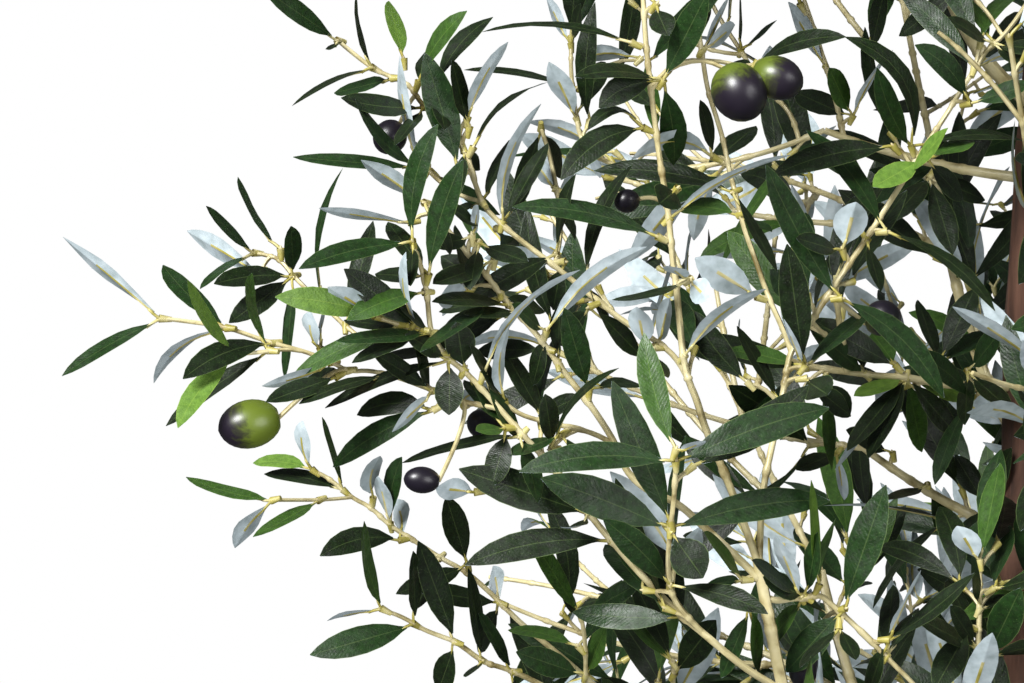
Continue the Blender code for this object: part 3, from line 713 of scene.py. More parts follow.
def add_node(
    tree: bpy.types.NodeTree,
    kind: str,
    settings: dict | None = None,
    links: dict | None = None,
    stops: Iterable[tuple[float, str]] = (),
) -> bpy.types.Node:
    """Add a node with its settings and links.

    Args:
        tree: the material's node tree.
        kind: the node's type name, after "ShaderNode".
        settings: values of the node's own attributes or, by socket name or number, its inputs.
        links: what feeds each input, by its name or number: a socket, or a node that feeds it
            from its first one.
        stops: a colour ramp's places from 0 to 1, with their sRGB hex colours.

    Returns:
        The node.
    """
    made = tree.nodes.new(f"ShaderNode{kind}")
    for key, value in (settings or {}).items():
        if isinstance(key, str) and key in made.bl_rna.properties:
            setattr(made, key, value)
        else:
            made.inputs[key].default_value = value
    for key, source in (links or {}).items():
        tree.links.new(socket_of(source), made.inputs[key])
    for index, (place, colour) in enumerate(stops):
        points = made.color_ramp.elements
        point = points[index] if index < len(points) else points.new(place)
        point.position = place
        point.color = linear(colour)
    return made


@dataclass(frozen=True)
class Finish:
    """One surface: its name and how its light behaves."""

    name: str
    colour: str
    roughness: float
    ior: float = 1.5
    coat: Pair = (0.0, 0.03)  # weight and roughness of a clear lacquer

    def make(self) -> bpy.types.Material:
        """Build the material, once for each name, and return it."""
        found = bpy.data.materials.get(self.name)
        if found is not None:
            return found
        made = bpy.data.materials.new(self.name)
        made.use_nodes = True
        made.diffuse_color = linear(self.colour)
        shader = made.node_tree.nodes["Principled BSDF"]
        for socket, value in (
            ("Base Color", linear(self.colour)),
            ("Roughness", self.roughness),
            ("IOR", self.ior),
            ("Coat Weight", self.coat[0]),
            ("Coat Roughness", self.coat[1]),
        ):
            shader.inputs[socket].default_value = value
        for socket, source in self.dress(made.node_tree).items():
            made.node_tree.links.new(socket_of(source), shader.inputs[socket])
        return made

    def dress(self, tree: bpy.types.NodeTree) -> dict:
        """Add nothing: a plain finish feeds none of the shader's sockets."""
        return {}


BANDS_PER_SCALE = 3.2  # bands that a wave texture draws for each unit of its scale


@dataclass(frozen=True)
class PrintedLeafCloth(Finish):
    """Polyester leaf cloth, printed and heat-pressed, with a satin face.

    The print mottles the green in spots of 2 to 3 mm, and fine lines run along the midrib and
    the outline, with small yellow flecks between them. The line along the outline is partly the
    cut cloth's own pale edge and partly a painted highlight, for the light that the rim catches.
    The cloth cockles a little, its weave is drawn 1 mm coarse so that it shows, and the pressed
    veins are faint slanted strokes. The gloss drifts over 9 mm, so the sheen never lies evenly on
    a leaf.
    """

    shade: str = "#0e1509"
    vein_and_rim_highlight_colour: str = "#5d7040"
    veins: float = 23.0  # pairs along a leaf, about 2.6 mm apart
    vein_slant: float = -0.27
    least_roughness: float = 0.36

    def dress(self, tree: bpy.types.NodeTree) -> dict:
        """Print flecks, lines and mottle, paint the rim's highlight, and press the cloth's relief.

        Args:
            tree: the material's node tree.

        Returns:
            What feeds each of the shader's sockets.
        """
        spot = add_node(tree, "TexCoord").outputs["Object"]
        leaf = add_node(tree, "UVMap", {"uv_map": "leaf"})
        parts = add_node(tree, "SeparateXYZ", links={0: leaf})
        across = add_node(tree, "Math", {"operation": "SUBTRACT", 1: 0.5}, {0: parts})
        off_rib = add_node(tree, "Math", {"operation": "ABSOLUTE"}, {0: across})
        mottle, gloss, cockle, weave = (
            add_node(tree, "TexNoise", {"Scale": scale, "Detail": detail}, {0: spot})
            for scale, detail in ((380.0, 2.0), (110.0, 2.0), (120.0, 3.0), (900.0, 3.0))
        )
        long_spots = add_node(tree, "Mapping", {"Scale": (14.0, 60.0, 1.0)}, {0: leaf})
        specks = add_node(tree, "TexNoise", {"Scale": 1.0, "Detail": 2.0}, {0: long_spots})
        flecks, rib, edge, sheen = (
            add_node(
                tree,
                "MapRange",
                {"From Min": low, "From Max": high, "To Min": least, "To Max": most},
                {0: source},
            )
            for source, low, high, least, most in (
                (specks, 0.64, 0.76, 0.0, 0.60),
                (off_rib, 0.024, 0.006, 0.0, 0.3),
                # the pale edge line: the cut cloth's own edge, and a painted highlight of the rim
                (off_rib, 0.475, 0.5, 0.0, 0.8),
                (gloss, 0.36, 0.64, self.least_roughness, self.roughness),
            )
        )
        marks = add_node(tree, "Math", {"operation": "MAXIMUM"}, {0: flecks, 1: rib})
        marks = add_node(tree, "Math", {"operation": "MAXIMUM"}, {0: marks, 1: edge})
        ground = add_node(
            tree, "ValToRGB", links={0: mottle}, stops=((0.30, self.shade), (0.66, self.colour))
        )
        colour = add_node(
            tree,
            "Mix",
            {"data_type": "RGBA", 7: linear(self.vein_and_rim_highlight_colour)},
            {0: marks, 6: ground},
        )
        slant = add_node(
            tree,
            "Math",
            {"operation": "MULTIPLY_ADD", 1: self.vein_slant},
            {0: off_rib, 2: parts.outputs["Y"]},
        )
        strokes = add_node(tree, "CombineXYZ", links={0: slant})
        veins = add_node(
            tree,
            "TexWave",
            {
                "Scale": self.veins / BANDS_PER_SCALE,
                "Distortion": 1.6,
                "Detail": 2.0,
                "Detail Scale": 1.5,
            },
            {0: strokes},
        )
        below = {}
        for height, strength, depth in (
            (cockle, 0.70, 0.0010),
            (weave, 0.60, 0.0003),
            (veins, 0.12, 0.0003),
        ):
            settings = {"Strength": strength, "Distance": depth}
            relief = add_node(tree, "Bump", settings, {"Height": height, **below})
            below = {"Normal": relief}
        return {"Base Color": colour.outputs[2], "Normal": relief, "Roughness": sheen}


@dataclass(frozen=True)
class FlockedLeafBack(Finish):
    """The leaf cloth's back, printed pale blue-grey and left matt, in patches of 6 mm."""

    low_colour: str = "#909d9f"
    high_colour: str = "#bcc7cb"

    def dress(self, tree: bpy.types.NodeTree) -> dict:
        """Vary the print a little from patch to patch.

        Args:
            tree: the material's node tree.

        Returns:
            What feeds each of the shader's sockets.
        """
        place = add_node(tree, "TexCoord").outputs["Object"]
        patches = add_node(tree, "TexNoise", {"Scale": 160.0, "Detail": 3.0}, {0: place})
        stops = ((0.30, self.low_colour), (0.52, self.colour), (0.75, self.high_colour))
        return {"Base Color": add_node(tree, "ValToRGB", links={0: patches}, stops=stops)}


@dataclass(frozen=True)
class MouldedStemPlastic(Finish):
    """Polyethylene stem, injection moulded in cream and wiped with a brown wash.

    The wash lies unevenly at random, so the colour drifts along a stem every 10 mm, and the
    moulding gives a soft gloss with a faint grain of 1.4 mm.
    """

    low_colour: str = "#77693f"
    high_colour: str = "#ccc39c"

    def dress(self, tree: bpy.types.NodeTree) -> dict:
        """Wipe on the wash and add the moulding's grain.

        Args:
            tree: the material's node tree.

        Returns:
            What feeds each of the shader's sockets.
        """
        place = add_node(tree, "TexCoord").outputs["Object"]
        wash = add_node(tree, "TexNoise", {"Scale": 95.0, "Detail": 4.0}, {0: place})
        stops = ((0.28, self.low_colour), (0.46, self.colour), (0.8, self.high_colour))
        colour = add_node(tree, "ValToRGB", links={0: wash}, stops=stops)
        grain = add_node(tree, "TexNoise", {"Scale": 700.0, "Detail": 2.0}, {0: place})
        depth = {"Strength": 0.35, "Distance": 0.0002}
        return {"Base Color": colour, "Normal": add_node(tree, "Bump", depth, {"Height": grain})}


@dataclass(frozen=True)
class BarkedWood(Finish):
    """A natural pole, peeled and stained red-brown: long dark grooves in a dull surface.

    The grooves lie 10 mm apart and run on for 80 mm.
    """

    groove_colour: str = "#261913"
    worn_colour: str = "#684838"

    def dress(self, tree: bpy.types.NodeTree) -> dict:
        """Stain the wood along its grain.

        Args:
            tree: the material's node tree.

        Returns:
            What feeds each of the shader's sockets.
        """
        place = add_node(tree, "TexCoord").outputs["Object"]
        along = add_node(tree, "Mapping", {"Scale": (95.0, 95.0, 13.0)}, {0: place})
        settings = {"Scale": 1.0, "Detail": 6.0, "Roughness": 0.6, "Distortion": 0.5}
        grain = add_node(tree, "TexNoise", settings, {0: along})
        stops = ((0.30, self.groove_colour), (0.47, self.colour), (0.72, self.worn_colour))
        colour = add_node(tree, "ValToRGB", links={0: grain}, stops=stops)
        depth = {"Strength": 0.7, "Distance": 0.0012}
        return {"Base Color": colour, "Normal": add_node(tree, "Bump", depth, {"Height": grain})}


@dataclass(frozen=True)
class SprayedOliveSkin(Finish):
    """Hollow moulded olive, sprayed dark purple over green and lacquered to a high gloss."""

    green: str = "#55641c"
    edge_colour: str = "#2f331a"
    tip_colour: str = "#120e18"

    def dress(self, tree: bpy.types.NodeTree) -> dict:
        """Fade the spray from the stalk's green end to the dark tip.

        Args:
            tree: the material's node tree.

        Returns:
            What feeds each of the shader's sockets.
        """
        place = add_node(tree, "UVMap", {"uv_map": "leaf"})
        along = add_node(tree, "SeparateXYZ", links={0: place}).outputs["Y"]
        settings = {"Scale": 7.0, "Detail": 4.0, "Roughness": 0.7}
        mottle = add_node(tree, "TexNoise", settings, {0: place})
        settings = {"operation": "MULTIPLY_ADD", 1: 0.35}
        edge = add_node(tree, "Math", settings, {0: mottle, 2: along})
        stops = (
            (0.40, self.green),
            (0.50, self.edge_colour),
            (0.58, self.colour),
            (1.0, self.tip_colour),
        )
        return {"Base Color": add_node(tree, "ValToRGB", links={0: edge}, stops=stops)}


@dataclass(frozen=True)
class MouldedPotPlastic(Finish):
    """Polypropylene pot, injection moulded in a spark-eroded tool: a fine dull grain of 1 mm."""

    low_colour: str = "#26272a"
    high_colour: str = "#3a3b3e"

    def dress(self, tree: bpy.types.NodeTree) -> dict:
        """Add the tool's grain and the faint clouds of the moulding.

        Args:
            tree: the material's node tree.

        Returns:
            What feeds each of the shader's sockets.
        """
        place = add_node(tree, "TexCoord").outputs["Object"]
        grain = add_node(tree, "TexNoise", {"Scale": 900.0, "Detail": 3.0}, {0: place})
        depth = {"Strength": 0.3, "Distance": 0.0003}
        cloud = add_node(tree, "TexNoise", {"Scale": 22.0, "Detail": 3.0}, {0: place})
        stops = ((0.3, self.low_colour), (0.5, self.colour), (0.75, self.high_colour))
        colour = add_node(tree, "ValToRGB", links={0: cloud}, stops=stops)
        return {"Base Color": colour, "Normal": add_node(tree, "Bump", depth, {"Height": grain})}


@dataclass(frozen=True)
class LooseCover(Finish):
    """Dark crumb laid over the cast weight: matt brown grains of 4 mm with lighter bits."""

    darkest: str = "#1e1611"
    light: str = "#5a4634"
    lightest: str = "#7d6a50"

    def dress(self, tree: bpy.types.NodeTree) -> dict:
        """Colour the crumbs one by one.

        Args:
            tree: the material's node tree.

        Returns:
            What feeds each of the shader's sockets.
        """
        place = add_node(tree, "TexCoord").outputs["Object"]
        crumbs = add_node(tree, "TexVoronoi", {"Scale": 260.0}, {0: place})
        parts = add_node(tree, "SeparateXYZ", links={0: crumbs.outputs["Color"]})
        stops = (
            (0.0, self.darkest),
            (0.55, self.colour),
            (0.85, self.light),
            (1.0, self.lightest),
        )
        colour = add_node(tree, "ValToRGB", links={0: parts}, stops=stops)
        depth = {"invert": True, "Strength": 0.9, "Distance": 0.002}
        relief = add_node(tree, "Bump", depth, {"Height": crumbs.outputs["Distance"]})
        return {"Base Color": colour, "Normal": relief}


LEAF_DEEP = PrintedLeafCloth("leaf_cloth_deep", "#15240d", 0.56, 1.40)
LEAF_MATURE = PrintedLeafCloth("leaf_cloth_mature", "#1c3514", 0.56, 1.40, shade="#14240e")
LEAF_FRESH = PrintedLeafCloth(
    "leaf_cloth_fresh", "#34521c", 0.56, 1.40, shade="#284016", vein_and_rim_highlight_colour="#6f8a3e"
)
LEAF_YOUNG = PrintedLeafCloth(
    "leaf_cloth_young", "#5f7f31", 0.56, 1.40, shade="#4c6a28", vein_and_rim_highlight_colour="#8ea648"
)
LEAF_BACK = FlockedLeafBack("leaf_cloth_back", "#a9b6bb", 0.70)
LEAF_RIB = MouldedStemPlastic("leaf_rib_plastic", "#a0974b", 0.42, low_colour="#857c38")
STEM = MouldedStemPlastic("stem_plastic", "#b3a87c", 0.38)
TRUNK_WOOD = BarkedWood("trunk_stained_wood", "#4b3124", 0.78)
OLIVE_SKIN = SprayedOliveSkin("olive_lacquered", "#1a141f", 0.38, coat=(0.15, 0.20))
POT_PLASTIC = MouldedPotPlastic("pot_polypropylene", "#2f3033", 0.5)
COVER = LooseCover("pot_crumb_cover", "#3a2b20", 0.95)
FLOOR_PAINT = Finish("floor_pale_paint", "#d2d0cb", 0.8)

LEAF_FINISHES = (LEAF_DEEP, LEAF_MATURE, LEAF_FRESH, LEAF_YOUNG, LEAF_BACK, LEAF_RIB)
BACK_SLOT = LEAF_FINISHES.index(LEAF_BACK)
RIB_SLOT = LEAF_FINISHES.index(LEAF_RIB)


# ---------------------------------------------------------------------------------------------
# Joined pieces
# ---------------------------------------------------------------------------------------------


def add_piece(
    data: bpy.types.Mesh, finishes: Iterable[Finish], nodes: Iterable[str]
) -> None:
    """Put a mesh in the scene as a piece of the object, under the mesh's own name.

    Args:
        data: the mesh, already in place.
        finishes: its materials in order.
        nodes: the solid nodes that it stands for.
    """
    for finish in finishes:
        data.materials.append(finish.make())
    piece = add_object(data.name, data)
    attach(piece, BODY)
    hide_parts(*nodes)
    LOG.info("%s: %d faces", piece.name, len(data.polygons))


@dataclass
class Pattern:
    """A small mesh that is repeated: its points, faces, zones and surface coordinates."""

    points: np.ndarray
    corners: np.ndarray
    sizes: np.ndarray
    zones: np.ndarray
    places: np.ndarray

    @classmethod
    def of(cls, mesh: bmesh.types.BMesh, places: np.ndarray | None = None) -> "Pattern":
        """Read a bmesh and free it.

        Args:
            mesh: the shape, its faces' material numbers naming their zones.
            places: surface coordinates of each point, or None for the middle of the map.

        Returns:
            The pattern.
        """
        mesh.verts.index_update()
        made = cls(
            np.array([vert.co for vert in mesh.verts], float),
            np.array([vert.index for face in mesh.faces for vert in face.verts], int),
            np.array([len(face.verts) for face in mesh.faces], int),
            np.array([face.material_index for face in mesh.faces], int),
            np.full((len(mesh.verts), 2), 0.5) if places is None else places,
        )
        mesh.free()
        return made


@dataclass
class Joined:
    """Many copies of patterns, joined in one mesh."""

    points: list[np.ndarray] = field(default_factory=list)
    corners: list[np.ndarray] = field(default_factory=list)
    sizes: list[np.ndarray] = field(default_factory=list)
    slots: list[np.ndarray] = field(default_factory=list)
    places: list[np.ndarray] = field(default_factory=list)
    count: int = 0

    def add(
        self,
        pattern: Pattern,
        points: np.ndarray,
        slots: Sequence[int],
        places: np.ndarray | None = None,
    ) -> None:
        """Join one copy.

        Args:
            pattern: whose faces are repeated.
            points: this copy's own points.
            slots: material number for each zone of the pattern.
            places: this copy's own surface coordinates, if it has any.
        """
        self.points.append(points)
        self.corners.append(pattern.corners + self.count)
        self.sizes.append(pattern.sizes)
        self.slots.append(np.array(slots)[pattern.zones])
        self.places.append((pattern.places if places is None else places)[pattern.corners])
        self.count += len(points)

    def mesh(self, name: str, sharp_deg: float) -> bpy.types.Mesh:
        """Make the mesh.

        Args:
            name: its name.
            sharp_deg: edges that turn by more than this stay sharp.

        Returns:
            The mesh, smooth, with its surface coordinates in the map "leaf".
        """
        points, corners = np.concatenate(self.points), np.concatenate(self.corners)
        sizes = np.concatenate(self.sizes)
        data = bpy.data.meshes.new(name)
        data.vertices.add(len(points))
        data.loops.add(len(corners))
        data.polygons.add(len(sizes))
        data.vertices.foreach_set("co", points.astype(np.float32).ravel())
        data.loops.foreach_set("vertex_index", corners)
        data.polygons.foreach_set("loop_start", np.concatenate(([0], np.cumsum(sizes)[:-1])))
        data.polygons.foreach_set("material_index", np.concatenate(self.slots))
        data.update(calc_edges=True)
        surface = data.uv_layers.new(name="leaf")
        surface.data.foreach_set("uv", np.concatenate(self.places).astype(np.float32).ravel())
        data.validate()
        data.shade_smooth()
        data.set_sharp_from_angle(angle=math.radians(sharp_deg))
        return data


# ---------------------------------------------------------------------------------------------
# Leaves, cups and olives
# ---------------------------------------------------------------------------------------------

LOZENGE = [(0, 1, 2), (0, 2, 3)]
LOZENGE_SHARES = (0.2, 0.58, 0.97)  # of the leaf's length: its foot, its middle and its tip
LOZENGE_HALF = 0.42  # of the leaf's width


@dataclass
class Leaf:
    """One leaf: its ends, how its middle is bowed off their line, and how it is turned."""

    root: Vector
    tip: Vector
    facing: Vector
    width: float
    look: Look
    bow: Vector
    spring: Vector  # the way in which its stalk starts
    twist: float
    fold: float  # how far each half is raised, in radians
    wave: float  # height of the ripple along its edges

    def middle(self, share: float) -> Vector:
        """Find the midrib at a share of the length."""
        return self.root.lerp(self.tip, share) + self.bow * 4.0 * share * (1.0 - share)

    def outline(self) -> list[Vector]:
        """Give the four corners of the lozenge that stands for the leaf in tests."""
        ahead = (self.tip - self.root).normalized()
        across = ahead.cross(square_to(self.facing, ahead)) * self.width * LOZENGE_HALF
        foot, centre, tip = (self.middle(share) for share in LOZENGE_SHARES)
        return [foot, centre + across, tip, centre - across]


@dataclass
class LeafPattern:
    """The faces that every leaf shares, and the rule that bends them to one leaf's shape.

    The upper sheet and the back are joined along the outline and part a little between, and
    the back's middle strip stands out as the moulded rib, which runs on as the stalk.
    """

    columns: int = 4
    inner_column: float = 0.5  # of the half width
    rows: tuple[float, ...] = (0.0, 0.07, 0.18, 0.32, 0.48, 0.64, 0.79, 0.91, 1.0)
    outline: tuple[float, ...] = (0.08, 0.25, 0.60, 0.87, 1.0, 0.96, 0.75, 0.42, 0.04)
    arch: float = 0.75  # how far each half bends down again towards its edge
    ripples: float = 8.0  # radians of ripple along each edge
    rib_width: float = 0.11  # of the half width
    rib_share: float = 0.66  # of the leaf's length
    rib_fade: float = 0.08  # of the length, past the rib's end
    rib_depth: float = 0.0009
    thickness: float = 0.0003
    stalk_radii: Pair = (0.0009, 0.0007)
    stalk_length: float = 0.0048
    most_stalk: float = 0.15  # of a leaf's length
    stalk_overlap: float = 0.003  # how far it runs on under the blade
    stalk_steps: int = 4

    def __post_init__(self) -> None:
        """Build the two patterns once."""
        self.blade = self._blade()
        self.stalk = self._stalk()

    def _blade(self) -> Pattern:
        """Build the blade's two sheets, joined along the outline.

        Returns:
            The blade, -1 to 1 wide and 0 to 1 long, with its back's inner points at -1.
        """
        mesh = bmesh.new()
        last = len(self.rows) - 1
        bmesh.ops.create_grid(mesh, x_segments=self.columns, y_segments=last, size=1.0)
        for vert in mesh.verts:
            vert.co.y = self.rows[round((vert.co.y + 1.0) / 2.0 * last)]
        rim = {vert.co.to_tuple(4) for vert in mesh.verts if vert.is_boundary}
        copied = bmesh.ops.duplicate(mesh, geom=mesh.verts[:] + mesh.edges[:] + mesh.faces[:])
        back = [item for item in copied["geom"] if isinstance(item, bmesh.types.BMFace)]
        bmesh.ops.reverse_faces(mesh, faces=back)
        for face in back:
            middle = face.calc_center_median()
            is_rib = abs(middle.x) < self.inner_column and middle.y < self.rib_share
            face.material_index = 2 if is_rib else 1
        for item in copied["geom"]:
            if isinstance(item, bmesh.types.BMVert) and item.co.to_tuple(4) not in rim:
                item.co.z = -1.0
                item.co.x *= self.rib_width / self.inner_column
        bmesh.ops.remove_doubles(mesh, verts=mesh.verts, dist=1e-4)
        places = np.array([((vert.co.x + 1.0) / 2.0, vert.co.y) for vert in mesh.verts])
        return Pattern.of(mesh, places)

    def _stalk(self) -> Pattern:
        """Build the stalk, a four-sided tube of radius 1 and height 1, and return it."""
        mesh = bmesh.new()
        ring = bmesh.ops.create_circle(mesh, cap_ends=True, segments=4, radius=1.0)
        cap = ring["verts"][0].link_faces[0]
        for _ in range(self.stalk_steps):
            grown = bmesh.ops.extrude_face_region(mesh, geom=[cap, *cap.edges])["geom"]
            cap = next(item for item in grown if isinstance(item, bmesh.types.BMFace))
            bmesh.ops.translate(mesh, verts=cap.verts, vec=(0.0, 0.0, 1.0 / self.stalk_steps))
        bmesh.ops.recalc_face_normals(mesh, faces=mesh.faces)
        for face in mesh.faces:
            face.material_index = 2
        return Pattern.of(mesh)

    def add(self, joined: Joined, leaf: Leaf) -> None:
        """Join one leaf to a piece.

        Args:
            joined: the piece.
            leaf: where it sits and how it is bent.
        """
        cloth = Look.DEEP if leaf.look is Look.BACK else leaf.look
        slots = (cloth.value, BACK_SLOT, RIB_SLOT)
        joined.add(self.blade, self._bend(leaf), slots)
        joined.add(self.stalk, self._reach(leaf), slots)

    def _frame(self, leaf: Leaf, share: np.ndarray) -> tuple[np.ndarray, ...]:
        """Follow the midrib.

        Args:
            leaf: whose midrib it is.
            share: places along it.

        Returns:
            For each place, the midrib's point, the way across it and the way out of its face.
        """
        root, tip, bow, facing = (
            np.array(item) for item in (leaf.root, leaf.tip, leaf.bow, leaf.facing)
        )
        middle = root + np.outer(share, tip - root) + np.outer(4.0 * share * (1.0 - share), bow)
        ahead = (tip - root) + np.outer(4.0 * (1.0 - 2.0 * share), bow)
        ahead /= np.linalg.norm(ahead, axis=1, keepdims=True)
        out = facing - ahead * (ahead @ facing)[:, None]
        out /= np.linalg.norm(out, axis=1, keepdims=True)
        side = np.cross(ahead, out)
        turn = (leaf.twist * share)[:, None]
        return (
            middle,
            side * np.cos(turn) + out * np.sin(turn),
            out * np.cos(turn) - side * np.sin(turn),
        )

    def _stalk_share(self, leaf: Leaf) -> float:
        """Give the share of a leaf's length that is its stalk."""
        return min(self.stalk_length / (leaf.tip - leaf.root).length, self.most_stalk)

    def _bend(self, leaf: Leaf) -> np.ndarray:
        """Bend the blade to one leaf.

        Args:
            leaf: how it is bent.

        Returns:
            The points.
        """
        across, along, low = self.blade.points.T
        start = self._stalk_share(leaf)
        middle, side, out = self._frame(leaf, start + (1.0 - start) * along)
        broad = np.interp(along, self.rows, self.outline)
        half = leaf.width / 2 * broad
        fade = np.clip(1.0 - along / (self.rib_share + self.rib_fade), 0.0, 1.0)
        under = self.thickness + np.where(np.abs(across) < 0.01, fade * self.rib_depth, 0.0)
        raised = np.abs(across) * half * math.sin(leaf.fold)
        raised = raised - self.arch * across**2 * half * leaf.fold + low * under
        raised = raised + across * broad * leaf.wave * np.sin(along * self.ripples)
        return middle + side * (across * half * math.cos(leaf.fold))[:, None] + out * raised[:, None]

    def _reach(self, leaf: Leaf) -> np.ndarray:
        """Draw the stalk from its cup to the blade's back.

        Args:
            leaf: which it carries.

        Returns:
            The points.
        """
        across, up, step = self.stalk.points.T
        length = (leaf.tip - leaf.root).length
        start = self._stalk_share(leaf)
        end = start + self.stalk_overlap / length
        middle, side, out = self._frame(leaf, np.full(len(step), end))
        root = np.array(leaf.root)
        pull = root + np.array(leaf.spring) * start * length * 0.5
        share = step[:, None]
        line = root * (1 - share) ** 2 + pull * 2 * share * (1 - share) + middle * share**2
        thick = np.interp(step, (0.0, 1.0), self.stalk_radii)[:, None]
        sink = (self.thickness + self.rib_depth * 0.5) * share**2
        return line + side * across[:, None] * thick + out * (up[:, None] * thick - sink)


@dataclass
class CupPattern:
    """The flared cup that holds a pair of leaves, and the pointed bud in it."""

    length: float = 0.0054
    radii: Pair = (0.0012, 0.0019)
    bud_length: float = 0.0042
    sides: int = 7
    lip: float = 0.22  # of the mouth's radius
    hollow: float = 0.35  # of the cup's length
    bud_width: float = 0.55  # of the bud's length, at its foot
    bud_taper: float = 0.45  # of that width, towards its point

    def __post_init__(self) -> None:
        """Build both patterns once."""
        self.cup = self._cup()
        self.bud = self._bud()

    def _cup(self) -> Pattern:
        """Build the cup, 1 long with a mouth of radius 1, and return it."""
        mesh = bmesh.new()
        bmesh.ops.create_cone(
            mesh,
            cap_ends=True,
            segments=self.sides,
            radius1=self.radii[0] / self.radii[1],
            radius2=1.0,
            depth=1.0,
            matrix=Matrix.Translation((0.0, 0.0, 0.5)),
        )
        mouth = max(mesh.faces, key=lambda face: face.calc_center_median().z)
        bmesh.ops.inset_region(mesh, faces=[mouth], thickness=self.lip)
        bmesh.ops.translate(mesh, verts=mouth.verts, vec=(0.0, 0.0, -self.hollow))
        bmesh.ops.recalc_face_normals(mesh, faces=mesh.faces)
        return Pattern.of(mesh)

    def _bud(self) -> Pattern:
        """Build the bud, 1 long and standing in the cup, and return it."""
        mesh = bmesh.new()
        bmesh.ops.create_uvsphere(mesh, u_segments=6, v_segments=5, radius=0.5)
        for vert in mesh.verts:
            height = vert.co.z + 0.5
            vert.co.x *= self.bud_width * (1.0 - self.bud_taper * height)
            vert.co.y *= self.bud_width * (1.0 - self.bud_taper * height)
            vert.co.z = height
        for face in mesh.faces:
            face.material_index = 1
        return Pattern.of(mesh)

    def add(self, joined: Joined, place: Vector, way: Vector) -> None:
        """Join one cup with its bud to a piece.

        Args:
            joined: the piece.
            place: the middle of the cup's foot.
            way: where it opens to.
        """
        turn = np.array(way.to_track_quat("Z", "Y").to_matrix()).T
        size = np.array((self.radii[1], self.radii[1], self.length))
        joined.add(self.cup, self.cup.points * size @ turn + np.array(place), (0, 1))
        stand = np.array(place + way * self.length * 0.5)
        joined.add(self.bud, self.bud.points * self.bud_length @ turn + stand, (0, 1))


@dataclass
class Olive:
    """One olive: its middle, the way of its tip, its size and how ripe it is."""

    middle: Vector
    way: Vector
    length: float
    width: float
    ripe: float


@dataclass
class OlivePattern:
    """The olive: a smooth oval with a small nib at its tip and a dimple round its stalk."""

    sides: int = 20
    rings: int = 14
    nib: Pair = (0.09, 0.012)  # reach and height, of the olive's width and length
    dimple: Pair = (0.12, 0.045)  # reach and depth
    skew: float = 0.7  # how the mottle's map takes in the depth as well
    squeeze: Pair = (1.0, 0.6)  # of the map
    ripe_shift: Pair = (7.0, -0.45)  # to another mottle, and of the spray's edge

    def __post_init__(self) -> None:
        """Build the pattern once."""
        mesh = bmesh.new()
        bmesh.ops.create_uvsphere(mesh, u_segments=self.sides, v_segments=self.rings, radius=0.5)
        for vert in mesh.verts:
            reach = math.hypot(vert.co.x, vert.co.y)
            if vert.co.z > 0 and reach < self.nib[0]:
                vert.co.z += self.nib[1]
            if vert.co.z < 0 and reach < self.dimple[0]:
                vert.co.z += self.dimple[1]
        places = [(vert.co.x + vert.co.y * self.skew, vert.co.z + 0.5) for vert in mesh.verts]
        self.skin = Pattern.of(mesh, np.array(places))

    def add(self, joined: Joined, olive: Olive) -> None:
        """Join one olive to a piece.

        Args:
            joined: the piece.
            olive: where it hangs.
        """
        turn = np.array(olive.way.to_track_quat("Z", "Y").to_matrix()).T
        size = np.array((olive.width, olive.width, olive.length))
        points = self.skin.points * size @ turn + np.array(olive.middle)
        shift = (olive.ripe * self.ripe_shift[0], olive.ripe + self.ripe_shift[1])
        joined.add(self.skin, points, (0,), self.skin.places * self.squeeze + shift)


# ---------------------------------------------------------------------------------------------
# Growth
# ---------------------------------------------------------------------------------------------


